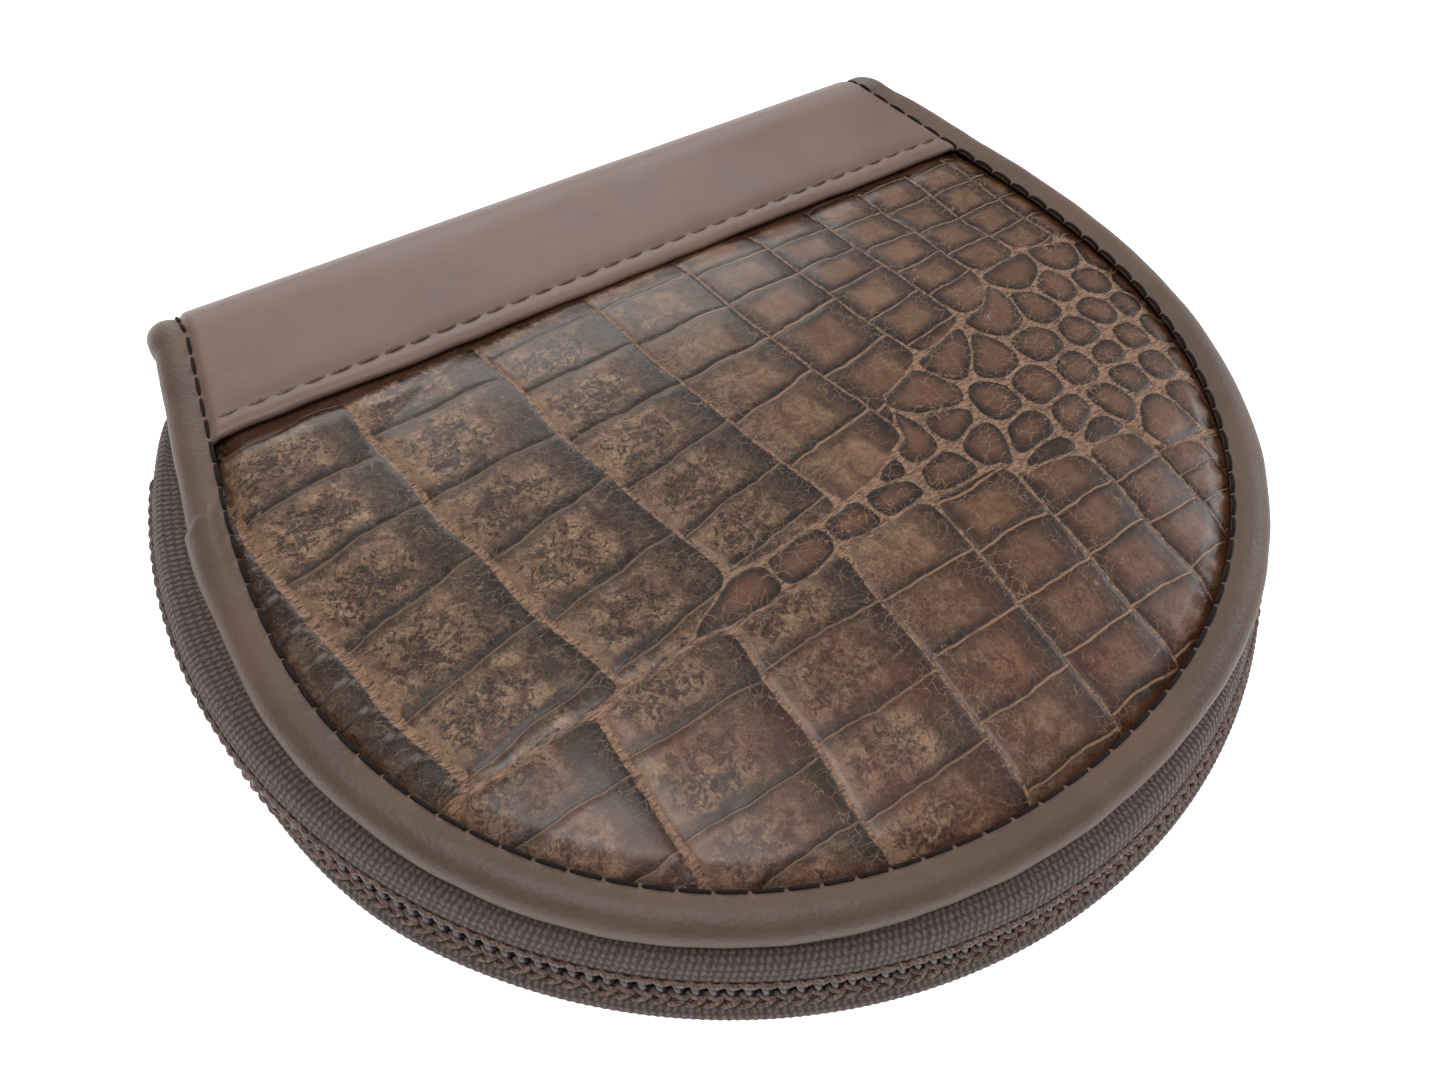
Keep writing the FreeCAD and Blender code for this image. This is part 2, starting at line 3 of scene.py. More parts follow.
import bpy
import mathutils
import numpy as np
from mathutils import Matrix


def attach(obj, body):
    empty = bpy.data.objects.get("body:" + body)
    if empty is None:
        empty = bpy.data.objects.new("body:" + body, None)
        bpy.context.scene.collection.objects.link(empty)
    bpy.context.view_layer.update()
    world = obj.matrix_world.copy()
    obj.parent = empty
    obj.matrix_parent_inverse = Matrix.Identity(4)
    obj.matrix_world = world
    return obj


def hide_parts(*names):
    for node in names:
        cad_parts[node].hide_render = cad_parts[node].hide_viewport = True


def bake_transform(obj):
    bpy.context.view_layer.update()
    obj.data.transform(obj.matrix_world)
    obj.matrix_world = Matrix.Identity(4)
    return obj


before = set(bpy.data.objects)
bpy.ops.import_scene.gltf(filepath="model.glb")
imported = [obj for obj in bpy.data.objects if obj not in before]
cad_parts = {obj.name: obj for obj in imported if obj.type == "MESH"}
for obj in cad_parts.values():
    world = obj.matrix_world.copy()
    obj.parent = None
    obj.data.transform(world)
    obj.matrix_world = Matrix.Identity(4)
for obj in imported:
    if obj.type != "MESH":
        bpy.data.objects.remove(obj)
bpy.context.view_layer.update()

# Lengths here are in millimetres until a mesh is made, and z is measured up from the surface
# that the pouch rests on. A half is drawn about its mating plane, outside towards +z, and the
# base is the same half turned over.
MM = 0.001
stage = bpy.context.scene
MID = 7.6  # height of the mating plane
FOLD_Y = 37.75  # where both halves start to bend round the fold
FOLD_HALF = 40.48  # half the fold's width
FOLD_BEND = 6.85  # radius that the rolled edge bends to
ZIP_Y = 7.9  # centre of the zip's arc
ZIP_RADIUS = 51.8
KNIT_RADIUS = 52.42  # of the thread row on the coil
COIL_PITCH = 1.27
STITCH_PITCH = 2.6

# Outline arcs on the right: centre, radius and the turn from the nose where each ends.
ARCS = (
    ((0.0, 15.9), 54.7, 18.5),
    ((4.188, 3.382), 41.5, 90.0),
    ((-32.912, 3.382), 78.6, 101.0),
)
TAPER = math.radians(101.0)  # heading of the straight stretch that follows

# Heights above the mating plane.
LID_LEATHER, LID_CROWN = 6.15, 8.4
BASE_PANEL = 7.44
PANEL_BACK = 5.6
LINING_TOP, LINING_UNDER = 4.65, 4.17
STRIP_TOP, STRIP_UNDER = 6.95, 6.2

STRIP_EDGE = 24.74  # front edge of the spine strip
SEAM_Y = 26.8  # its row of stitches


# ---------------- numbers

def ramp(low, high, value):
    """Smooth step from 0 at low to 1 at high."""
    t = np.clip((value - low) / (high - low), 0.0, 1.0)
    return t * t * (3 - 2 * t)


def ripple(x, y, wave, seed):
    """Smooth pseudo-random field of about unit height and a given wavelength."""
    count = 7
    dice = np.random.default_rng(seed)
    total = 0.0
    for _ in range(count):
        heading = dice.uniform(0, 2 * math.pi)
        scale = 2 * math.pi / (wave * dice.uniform(0.7, 1.5))
        phase = dice.uniform(0, 2 * math.pi)
        total = total + np.sin((x * math.cos(heading) + y * math.sin(heading)) * scale + phase)
    return total / math.sqrt(count / 2) / 1.6


def soft_least(distances, sharpness):
    """Least of several fields with its corners rounded."""
    stack = np.stack(distances)
    least = stack.min(axis=0)
    return least - np.log(np.exp(-sharpness * (stack - least)).sum(axis=0)) / sharpness


def reach(x, y):
    """Distance outside the stitch line, negative inside."""
    side = np.abs(x)
    turns = []
    spans = []
    for (cx, cy), radius, _ in ARCS:
        spans.append(np.hypot(side - cx, y - cy) - radius)
        turns.append(np.degrees(np.arctan2(side - cx, cy - y)))
    (cx, cy), radius, _ = ARCS[2]
    flat = (side - cx) * math.sin(TAPER) - (y - cy) * math.cos(TAPER) - radius
    picks = [turns[0] < ARCS[0][2], turns[1] < ARCS[1][2], turns[2] < ARCS[2][2]]
    return np.select(picks, spans, flat)


def half_outline(step, back_y):
    """Points, outward normals and lengths along the stitch line from the nose to the right rear."""
    points = []
    normals = []
    start = 0.0
    for (cx, cy), radius, end in ARCS:
        count = max(2, round(math.radians(end - start) * radius / step))
        for turn in np.radians(np.linspace(start, end, count, endpoint=False)):
            normal = (math.sin(turn), -math.cos(turn))
            points.append((cx + radius * normal[0], cy + radius * normal[1]))
            normals.append(normal)
        start = end
    (cx, cy), radius, _ = ARCS[2]
    normal = (math.sin(TAPER), -math.cos(TAPER))
    end_x, end_y = cx + radius * normal[0], cy + radius * normal[1]
    count = max(2, round((back_y - end_y) / math.sin(TAPER) / step))
    for y in np.linspace(end_y, back_y, count):
        # The normal eases to straight across where the edge meets the fold.
        ease = float(ramp(28.0, FOLD_Y, y)) * (TAPER - math.pi / 2)
        turn = TAPER - ease
        points.append((end_x - (y - end_y) / math.tan(math.pi - TAPER), y))
        normals.append((math.sin(turn), -math.cos(turn)))
    return np.array(points), np.array(normals)


def mirrored(half):
    """A row of places from the nose, after its mirror image."""
    return np.vstack([half[:0:-1] * (-1.0, 1.0), half])


def headings(line):
    """Unit direction along a line at each of its points."""
    ahead = np.gradient(line, axis=0)
    return ahead / np.linalg.norm(ahead, axis=1)[:, None]


def whole_outline(step, back_y):
    """The stitch line from the left rear round the nose to the right rear."""
    points, normals = map(mirrored, half_outline(step, back_y))
    hops = np.hypot(*np.diff(points, axis=0).T)
    return points, normals, np.concatenate([[0.0], np.cumsum(hops)])


def rounded(points, closed=True):
    """Corner cutting, twice: each round replaces a corner by two points."""
    line = np.array(points, float)
    for _ in range(2):
        after = np.roll(line, -1, axis=0)
        cut = np.stack([0.75 * line + 0.25 * after, 0.25 * line + 0.75 * after], axis=1)
        if closed:
            line = cut.reshape(-1, line.shape[1])
        else:
            line = np.vstack([line[:1], cut[:-1].reshape(-1, line.shape[1]), line[-1:]])
    return line


def joined(*parts):
    """Points from their coordinates, each a number or an array."""
    return np.stack(np.broadcast_arrays(*parts), axis=-1)


def placed(points, half):
    """Points of a half at their place in the whole pouch."""
    points = np.array(points, float)
    if half == "lid":
        return points + (0, 0, MID)
    return points * (-1, 1, -1) + (0, 0, MID)


# ---------------- meshes

def make_mesh(name, points, faces, marks=None):
    """A mesh object from points in millimetres; marks are number fields on the points."""
    mesh = bpy.data.meshes.new(name)
    mesh.from_pydata((np.asarray(points, float).reshape(-1, 3) * MM).tolist(), [], faces)
    for word, values in (marks or {}).items():
        field = mesh.attributes.new(word, "FLOAT", "POINT")
        field.data.foreach_set("value", np.asarray(values, np.float32).ravel())
    mesh.validate()
    mesh.polygons.foreach_set("use_smooth", [True] * len(mesh.polygons))
    piece = bpy.data.objects.new(name, mesh)
    stage.collection.objects.link(piece)
    return piece


def loft_faces(rows, columns, loop, start=0):
    """Quads over closed rows of points; loop joins the last row to the first."""
    faces = []
    for row in range(rows if loop else rows - 1):
        below = start + row * columns
        above = start + (row + 1) % rows * columns
        for column in range(columns):
            after = (column + 1) % columns
            faces.append((below + column, below + after, above + after, above + column))
    return faces


def solids(name, parts, marks=None):
    """Several solids as one mesh, each through its closed rows of points and shut at both ends."""
    points, faces = [], []
    start = 0
    for rows in parts:
        rows = np.asarray(rows, float)
        count, columns = rows.shape[:2]
        end = start + count * columns
        faces += loft_faces(count, columns, False, start)
        faces.append(tuple(reversed(range(start, start + columns))))
        faces.append(tuple(range(end - columns, end)))
        points.append(rows.reshape(-1, 3))
        start = end
    return make_mesh(name, np.vstack(points), faces, marks)


def loop_of(name, rows, loop):
    """Closed rows of points without ends; loop joins the last row to the first."""
    rows = np.asarray(rows, float)
    return make_mesh(name, rows, loft_faces(*rows.shape[:2], loop))


def tube_rings(line, radius, sides):
    """Rings of points round a line, with little twist."""
    line = np.asarray(line, float)
    ahead = headings(line)
    up = np.array([0.0, 0.0, 1.0])
    if abs(ahead[0] @ up) > 0.9:
        up = np.array([1.0, 0.0, 0.0])
    turns = np.linspace(0, 2 * math.pi, sides, endpoint=False)
    rings = []
    for point, heading in zip(line, ahead):
        side = np.cross(heading, up)
        side /= np.linalg.norm(side)
        up = np.cross(side, heading)
        rings.append(point + radius * (np.outer(np.cos(turns), side) + np.outer(np.sin(turns), up)))
    return np.array(rings)


def tubes(name, lines, radius, sides):
    """Many tubes as one mesh."""
    return solids(name, [tube_rings(line, radius, sides) for line in lines])


# ---------------- materials

class Paint:
    """A node material, written as expressions: each method adds a node and gives its output."""

    def __init__(self, name):
        self.material = bpy.data.materials.new(name)
        self.material.use_nodes = True
        self.tree = self.material.node_tree
        self.shader = self.tree.nodes["Principled BSDF"]

    def node(self, kind, inputs=(), **settings):
        made = self.tree.nodes.new(kind)
        for word, value in settings.items():
            setattr(made, word, value)
        for socket, value in dict(inputs).items():
            self.put(made.inputs[socket], value)
        return made

    def put(self, socket, value):
        if hasattr(value, "is_output"):
            self.tree.links.new(value, socket)
        else:
            socket.default_value = value

    def math(self, operation, *values):
        made = self.node("ShaderNodeMath", operation=operation)
        for socket, value in zip(made.inputs, values):
            self.put(socket, value)
        return made.outputs[0]

    def times(self, *values):
        return self.math("MULTIPLY", *values)

    def plus(self, *values):
        return self.math("ADD", *values)

    def minus(self, *values):
        return self.math("SUBTRACT", *values)

    def fit(self, value, factor, offset):
        return self.math("MULTIPLY_ADD", value, factor, offset)

    def most(self, *values):
        return self.math("MAXIMUM", *values)

    def least(self, *values):
        return self.math("MINIMUM", *values)

    def field(self, word):
        return self.node("ShaderNodeAttribute", attribute_name=word).outputs["Fac"]

    def place(self):
        return self.node("ShaderNodeTexCoord").outputs["Object"]

    def scaled(self, vector, x, y, z, turn=0.0):
        made = self.node("ShaderNodeMapping", {"Vector": vector, "Scale": (x, y, z)})
        made.inputs["Rotation"].default_value = (0, 0, math.radians(turn))
        return made.outputs[0]

    def noise(self, vector, scale, detail=3.0, rough=0.55, warp=0.0):
        made = self.node("ShaderNodeTexNoise", {
            "Vector": vector, "Scale": scale, "Detail": detail, "Roughness": rough, "Distortion": warp})
        return made.outputs[0]

    def cells(self, vector, scale, feature="F1"):
        made = self.node("ShaderNodeTexVoronoi", {"Vector": vector, "Scale": scale}, feature=feature)
        return made.outputs["Distance"]

    def step(self, value, low, high, start=0.0, end=1.0):
        made = self.node("ShaderNodeMapRange", {
            0: value, 1: low, 2: high, 3: start, 4: end}, interpolation_type="SMOOTHSTEP")
        return made.outputs[0]

    def blend(self, amount, first, second):
        """Mix of two colours, each a socket, an RGBA value or a screen colour from 0 to 255."""
        first, second = [shade(*c) if isinstance(c, tuple) and len(c) == 3 else c for c in (first, second)]
        made = self.node("ShaderNodeMix", {0: amount, 6: first, 7: second}, data_type="RGBA")
        return made.outputs[2]

    def bump(self, height, distance, strength=1.0, after=None):
        made = self.node("ShaderNodeBump", {
            "Height": height, "Distance": distance * MM, "Strength": strength})
        if after is not None:
            self.put(made.inputs["Normal"], after)
        return made.outputs[0]

    def finish(self, **sockets):
        for word, value in sockets.items():
            self.put(self.shader.inputs[word.replace("_", " ")], value)
        return self.material


def shade(*colour):
    """Screen colour, 0 to 255, as linear light."""
    parts = [value / 255 for value in colour]
    return (*(part / 12.92 if part <= 0.04045 else ((part + 0.055) / 1.055) ** 2.4 for part in parts), 1.0)


def dress(piece, material):
    """Give a piece one material."""
    piece.data.materials.clear()
    piece.data.materials.append(material)


# Fields on the scaled panels: distance from the open grooves in groove widths and in
# millimetres; place along a column, a whole number at each cross line; place across the scale;
# a random number for each scale; 1 on the small scales and less on large ones; how red it is;
# and the bare edge along the seams, darkened with painted shade under the strip's edge and in the crack at
# the rolled edge.
FIELDS = ("groove", "rim", "row", "across", "tone", "small", "rust", "raw_edge_and_shade")


def scale_leather(name):
    """Glazed scaled leather, with worm-like pits, burnt edges and hair-fine creases."""
    p = Paint(name)
    place = p.place()
    groove, rim, row, across, tone, small, rust, raw_edge_and_shade = map(p.field, FIELDS)
    fray = p.noise(place, 2600, 4, 0.65)
    cloud = p.noise(place, 420, 6, 0.7, 0.8)
    worm = p.noise(place, 1050, 4, 0.55, 1.2)
    fine = p.noise(place, 2000, 6, 0.75, 1.6)
    drift = p.fit(p.noise(place, 460, 6, 0.66, 0.5), 0.44, -0.22)

    # Fine cross lines: the row number passes a whole one at each.
    wobble = p.fit(p.noise(place, 900, 3), 0.03, -0.015)
    fraction = p.math("FRACT", p.plus(row, wobble))
    line = p.least(fraction, p.minus(1.0, fraction))
    crease = p.step(p.minus(line, p.step(small, 0.0, 0.4, 0.0, 0.007)), 0.006, 0.022, 1.0, 0.0)
    crease = p.times(crease, p.step(small, 0.9, 0.5))
    crease = p.times(crease, p.step(p.noise(place, 700, 2), 0.25, 0.5, 0.35, 1.0))

    # Burnt edges: right and front of the large scales, all round the small ones.
    aside = p.fit(drift, 0.55, across)
    right = p.plus(p.step(aside, 0.65, 0.74, 0.0, 0.6), p.step(aside, 0.76, 1.0, 0.0, 0.4))
    frayed = p.fit(drift, 0.45, fraction)
    ends = p.most(p.step(frayed, 0.76, 0.98), p.step(frayed, 0.16, 0.02, 0.0, 0.75))
    burn = p.most(right, ends)
    inner = p.least(p.least(across, p.minus(1.0, across)), line)
    ring = p.step(p.fit(drift, 0.26, inner), 0.29, 0.04)
    burn = p.most(burn, p.times(ring, p.times(small, 2.45)))
    band = p.step(small, 0.9, 0.95)
    edge = p.step(p.fit(drift, 2.2, rim), 1.7, 0.3)
    burn = p.blend(band, burn, edge)

    # Mottled middle of each scale: dark worm-like pits gather at its centre.
    offset = p.math("POWER", p.times(p.minus(across, 0.36), 2.1), 2.0)
    offset = p.plus(offset, p.math("POWER", p.times(p.minus(fraction, 0.52), 1.9), 2.0))
    centre = p.times(p.step(p.fit(drift, 2.0, offset), 0.75, 0.10), p.step(small, 0.95, 0.4))
    body = p.blend(p.step(cloud, 0.36, 0.64), (92, 66, 49), (158, 127, 99))
    grain = p.step(small, 0.1, 0.42, 0.6, 0.3)
    body = p.blend(p.step(fine, 0.42, 0.60), p.blend(grain, body, (50, 30, 21)), body)
    body = p.blend(p.step(small, 0.1, 0.45, 0.0, 0.76), body, (101, 68, 46))
    pits = p.step(p.fit(centre, -0.15, worm), 0.39, 0.34)
    pits = p.times(pits, p.step(fine, 0.66, 0.46, 0.35, 1.0))
    pitted = p.most(p.step(small, 0.22, 0.0, 0.0, 0.85), p.times(rust, 0.75))
    pitted = p.times(pitted, p.minus(1.0, band))
    body = p.blend(p.times(pits, pitted), body, (30, 18, 14))
    bud = p.blend(fine, (76, 48, 35), (122, 85, 63))
    body = p.blend(p.times(band, p.step(rim, 0.8, 2.4, 0.5, 1.0)), body, bud)
    lit = p.step(p.fit(drift, 0.25, across), 0.13, 0.0)
    body = p.blend(p.times(lit, p.step(small, 0.3, 0.0, 0.0, 0.7)), body, (130, 101, 80))
    body = p.blend(p.fit(tone, -0.28, 0.28), body, (56, 37, 28))
    scorch = p.times(rust, p.fit(burn, 0.5, p.times(cloud, 0.7)))
    body = p.blend(scorch, body, (100, 52, 34))
    char = p.blend(p.step(fine, 0.38, 0.66), (9, 6, 6), (33, 21, 17))
    body = p.blend(p.times(burn, p.fit(rust, -0.2, 0.95)), body, char)

    # Hair-fine creases, lighter than the glaze round them, in two sizes, thickest by the grooves.
    warp = p.node("ShaderNodeTexNoise", {"Vector": place, "Scale": 520.0, "Detail": 4.0})
    shift = p.node("ShaderNodeVectorMath", {0: warp.outputs["Color"]}, operation="SCALE")
    shift.inputs["Scale"].default_value = 0.0017
    bent = p.node("ShaderNodeVectorMath", {0: place, 1: shift.outputs[0]}, operation="ADD")
    wide = p.cells(p.scaled(bent.outputs[0], 1.0, 0.42, 1.0, 24), 760, "DISTANCE_TO_EDGE")
    close = p.cells(p.scaled(bent.outputs[0], 0.45, 1.0, 1.0, -28), 1300, "DISTANCE_TO_EDGE")
    hair = p.times(p.step(wide, 0.014, 0.0), p.step(p.noise(place, 230, 3), 0.40, 0.56))
    thin = p.times(p.step(close, 0.034, 0.0), p.step(p.noise(place, 310, 3), 0.38, 0.56))
    hair = p.most(hair, p.times(thin, 0.75))
    hair = p.times(hair, p.step(rim, 3.4, 0.8, 0.45, 1.0))
    body = p.blend(p.times(hair, 0.6), body, (166, 128, 94))
    tan_line = p.step(small, 0.0, 0.3, 0.45, 0.9)
    body = p.blend(p.times(crease, tan_line), body, (142, 108, 82))

    # Open grooves show the untreated tan skin, in short fibres across the groove.
    fibre = p.noise(p.scaled(place, 0.8, 3.0, 1.0), 1500, 5, 0.7, 0.8)
    tan = p.blend(p.step(fibre, 0.34, 0.62), (58, 38, 28), (156, 120, 94))
    torn = p.step(small, 0.0, 0.4, 0.9, 0.35)
    near = p.plus(groove, p.times(torn, p.minus(fray, 0.5)))
    open_groove = p.step(near, 1.02, 0.74)
    colour = p.blend(p.times(open_groove, 0.92), body, tan)
    # Bare leather at the seams, its dark colour partly painted shade in the crack at the rolled edge and
    # under the spine strip's edge.
    colour = p.blend(p.times(raw_edge_and_shade, 0.9), colour, p.blend(fray, (30, 18, 13), (88, 54, 36)))

    rough_skin = (0.65, 0.65, 0.65, 1)
    glaze = p.blend(open_groove, p.step(fine, 0.3, 0.8, 0.30, 0.44), rough_skin)
    height = p.fit(fine, 0.22, p.times(fray, 0.08))
    height = p.minus(height, p.times(hair, 0.25))
    height = p.minus(height, p.times(crease, 0.9))
    height = p.plus(height, p.times(open_groove, p.times(fibre, 0.8)))
    normal = p.bump(height, 0.10, 0.7)
    normal = p.bump(cloud, 0.12, 0.35, after=normal)
    return p.finish(Base_Color=colour, Roughness=glaze, Normal=normal, Coat_Weight=0.12,
                    Coat_Roughness=0.14, Specular_IOR_Level=0.34)


def smooth_leather(name, low, high, rough, grain=0.012):
    """Plain leather: fine pebble grain, faint clouds and a few creases."""
    p = Paint(name)
    place = p.place()
    cloud = p.noise(place, 75, 5, 0.6)
    speck = p.noise(place, 3200, 3, 0.6)
    pebble = p.cells(place, 2300)
    colour = p.blend(p.step(cloud, 0.3, 0.7), low, high)
    colour = p.blend(p.times(p.step(speck, 0.62, 0.78), 0.25), colour, low)
    long_crease = p.noise(p.scaled(place, 1.0, 5.5, 1.0, 8), 190, 6, 0.62, 0.8)
    height = p.fit(pebble, 0.8, p.times(speck, 0.45))
    normal = p.bump(height, grain, 1.0)
    normal = p.bump(long_crease, 0.05, 0.55, after=normal)
    roughness = p.step(p.plus(cloud, p.times(speck, 0.3)), 0.3, 1.0, rough - 0.05, rough + 0.1)
    return p.finish(Base_Color=colour, Roughness=roughness, Normal=normal)


def thread_material(name, dark, light, rough=0.62):
    """Twisted thread: fine slanted plies."""
    p = Paint(name)
    place = p.place()
    fibre = p.noise(p.scaled(place, 1.0, 0.4, 1.0, 40), 5200, 4, 0.7)
    colour = p.blend(p.step(fibre, 0.35, 0.72), dark, light)
    return p.finish(Base_Color=colour, Roughness=rough, Normal=p.bump(fibre, 0.08, 0.9),
                    Specular_IOR_Level=0.3)


def tape_material(name):
    """Woven tape: knobbly picks in rows along the zip, each row half a pick on from the last."""
    p = Paint(name)
    place = p.place()
    along = p.field("along")
    up = p.field("up")
    jitter = p.fit(p.noise(place, 1300, 3), 6.0, -3.0)
    row = p.math("DIVIDE", p.fit(p.noise(place, 700, 3), 0.16, up), 0.60)
    shift = p.times(p.math("FLOOR", row), 1.3)
    pick = p.math("SINE", p.plus(p.fit(along, 2 * math.pi / 0.56, jitter), shift))
    bed = p.math("ABSOLUTE", p.math("SINE", p.times(row, math.pi)))
    knob = p.times(p.fit(pick, 0.4, 0.6), p.fit(bed, 0.6, 0.4))
    fuzz = p.noise(place, 4200, 4, 0.7)
    # Colour: the knob tops are painted lighter as highlight and the hollows between them darker as painted
    # shade; the fuzz noise is the yarn's own variation.
    mix = p.fit(knob, 0.65, p.fit(fuzz, 1.1, -0.5))
    colour = p.blend(p.step(mix, -0.1, 0.9), (44, 34, 30), (116, 98, 90))
    normal = p.bump(p.plus(knob, p.times(fuzz, 0.35)), 0.22, 1.0)
    return p.finish(Base_Color=colour, Roughness=0.88, Normal=normal, Sheen_Weight=0.1, Sheen_Roughness=0.5)


def nylon_material(name):
    p = Paint(name)
    place = p.place()
    cloud = p.noise(place, 900, 3)
    colour = p.blend(p.step(cloud, 0.3, 0.7), (44, 41, 44), (86, 83, 87))
    return p.finish(Base_Color=colour, Roughness=p.step(cloud, 0.2, 0.8, 0.2, 0.36),
                    Normal=p.bump(cloud, 0.02, 0.5))


def metal_material(name):
    """Antiqued brass, darker where it is not rubbed."""
    p = Paint(name)
    place = p.place()
    cloud = p.noise(place, 420, 5, 0.6)
    scratch = p.noise(p.scaled(place, 1.0, 1.0, 9.0), 900, 4, 0.6)
    colour = p.blend(p.step(cloud, 0.35, 0.65), (92, 72, 46), (150, 122, 80))
    height = p.plus(scratch, p.times(cloud, 0.6))
    return p.finish(Base_Color=colour, Metallic=0.95, Roughness=p.step(scratch, 0.2, 0.8, 0.26, 0.46),
                    Normal=p.bump(height, 0.015, 0.6))


def filler_material(name, low, high, scale, stretch=1.0):
    """Foam or board, where nothing but its own texture matters."""
    p = Paint(name)
    place = p.scaled(p.place(), 1.0, stretch, 1.0)
    grain = p.noise(place, scale, 5, 0.7)
    pores = p.cells(place, scale * 1.6)
    colour = p.blend(p.step(p.times(grain, pores), 0.05, 0.4), low, high)
    return p.finish(Base_Color=colour, Roughness=0.9, Normal=p.bump(grain, 0.2, 0.8))


scales = scale_leather("scaled_leather")
strip_leather = smooth_leather("plain_leather", (103, 80, 69), (114, 89, 77), 0.44)
edge_leather = smooth_leather("rolled_leather", (77, 58, 45), (93, 70, 55), 0.50, grain=0.04)
inner_leather = smooth_leather("lining_leather", (107, 77, 57), (115, 84, 62), 0.6, grain=0.05)
# Edge stitch thread, painted near black as the shade of the crevice at the rolled edge.
shaded_thread = thread_material("shaded_thread", (10, 6, 5), (36, 25, 20), 0.85)
olive_thread = thread_material("olive_thread", (86, 70, 52), (126, 108, 84))
knit_thread = thread_material("zip_thread", (66, 51, 45), (146, 120, 109))
tape_cloth = tape_material("woven_tape")
coil_nylon = nylon_material("coil_nylon")
brass = metal_material("antique_brass")
foam = filler_material("padding_foam", (190, 182, 165), (222, 214, 196), 1500)
board = filler_material("fibre_board", (120, 104, 84), (158, 140, 114), 1100, 0.3)


# ---------------- scaled panels

# Open grooves between the columns of large scales: places across the panel, behind and in front.
REAR_GROOVES = (-57.0, -44.2, -31.0, -18.0, -6.0, 4.5, 13.5, 21.3, 28.3, 34.7, 40.5, 46.0, 52.0)
FRONT_GROOVES = (-52.0, -40.0, -27.5, -15.0, -3.0, 7.0, 15.5, 23.0, 29.5, 34.8, 39.8, 45.0)

# Fine cross lines of each column, from the rear of it.
REAR_ROWS = (
    (10.0, 6.2, 2.6, -0.6, -3.6, -6.6, -9.5, -12.2),
    (16.2, 8.8, 0.8, -6.8, -13.4),
    (18.6, 9.4, 2.0, -5.6, -12.2),
    (21.4, 15.6, 8.6, 2.0, -4.3, -9.2),
    (21.6, 15.3, 9.4, 3.2, -3.2),
    (20.9, 15.9, 10.2, 3.6),
    (20.6, 16.3, 12.2, 7.2),
    (20.1, 15.6, 11.4, 7.2),
    (19.6, 15.3, 11.2),
    (19.4, 15.5, 11.6),
    (20.0, 16.0, 12.0),
    (20.5, 16.5, 12.5),
)
FRONT_ROWS = (
    (-20.5, -27.0),
    (-20.6, -27.2),
    (-19.5, -27.0, -32.3),
    (-18.8, -26.2, -32.6),
    (-19.0, -25.2, -31.4, -37.2),
    (-19.4, -24.8, -30.4, -36.0),
    (-19.7, -24.4, -30.0, -35.0),
    (-19.9, -24.8, -29.6),
    (-22.4, -25.4),
    (-23.6, -27.0),
    (-24.0, -28.0),
)

# Where the large scales of each set stop, with the small ones between.
REAR_END = ((-50, -15.9), (-31, -15.2), (-19, -14.2), (-12.5, -10.8), (-1, -9.9), (5, -8.6), (9.3, -6.6),
            (10.6, -2.0), (17, 0.2), (24.5, 2.6), (27.4, 3.0), (30.5, 6.6), (38, 8.0), (46, 6.4))
FRONT_START = ((-50, -15.9), (-31, -15.2), (-19, -14.3), (-15, -14.6), (-8, -14.2), (-3, -13.3), (7, -13.0),
               (15, -13.4), (16.5, -15.1), (29, -16.2), (31, -19.6), (46, -20.2))

# Middles of the small round scales.
SMALL_SCALES = (
    (-5.6, -12.1), (-12.6, -12.9), (-0.4, -11.9), (4.4, -11.2), (10.2, -11.1), (15.3, -10.2),
    (20.2, -11.9), (25.6, -12.4), (30.1, -12.6), (34.3, -11.2), (38.1, -11.4), (41.9, -12.3),
    (15.0, -4.2), (23.0, -3.5), (29.0, -4.0), (34.1, -4.7), (38.2, -3.1), (42.0, -3.6),
    (24.7, -7.8), (30.1, -8.1), (34.6, -7.9), (38.6, -7.4), (42.6, -7.6), (19.6, -7.6),
    (9.6, -8.1), (14.4, -7.8), (28.3, 1.0), (32.4, 0.2), (37.0, 1.6), (41.2, 0.8),
    (34.6, 5.4), (40.8, 5.2), (45.2, 3.4), (45.4, -1.2), (46.0, -5.6), (45.9, -10.2),
    (33.6, -16.0), (38.0, -15.6), (42.0, -16.6), (19.4, -1.0), (26.4, -15.0), (20.6, -15.0),
    (5.2, -8.6), (46.0, -14.6),
)


FAR = 1e3  # stands for no groove on that side


def curve_at(points, x):
    """Height at x of a line through points."""
    xs, ys = zip(*points)
    return np.interp(x, xs, ys)


def column_fields(x, y, edges, rows, slope):
    """Fields of one set of large scales. Edges are the grooves' places at each point."""
    left = np.full_like(x, -FAR)
    right = np.full_like(x, FAR)
    row = np.zeros_like(x)
    tone = np.zeros_like(x)
    for column in range(len(edges) - 1):
        inside = (x >= edges[column]) & (x < edges[column + 1])
        left[inside] = edges[column][inside]
        right[inside] = edges[column + 1][inside]
        middle = 0.5 * (edges[column] + edges[column + 1])
        level = y - slope * (x - middle)
        marks = np.array(rows[column], float)
        pitch = np.diff(marks).mean()
        before = [marks[0] - 2 * pitch, marks[0] - pitch]
        marks = np.concatenate([before, marks, marks[-1] + pitch * np.arange(1, 9)])
        index = np.interp(-level, -marks, np.arange(len(marks)))
        row[inside] = index[inside]
        dice = np.random.default_rng(100 + column).uniform(0, 1, len(marks) + 1)
        tone[inside] = dice[np.floor(index).astype(int)][inside]
    return left, right, row, tone


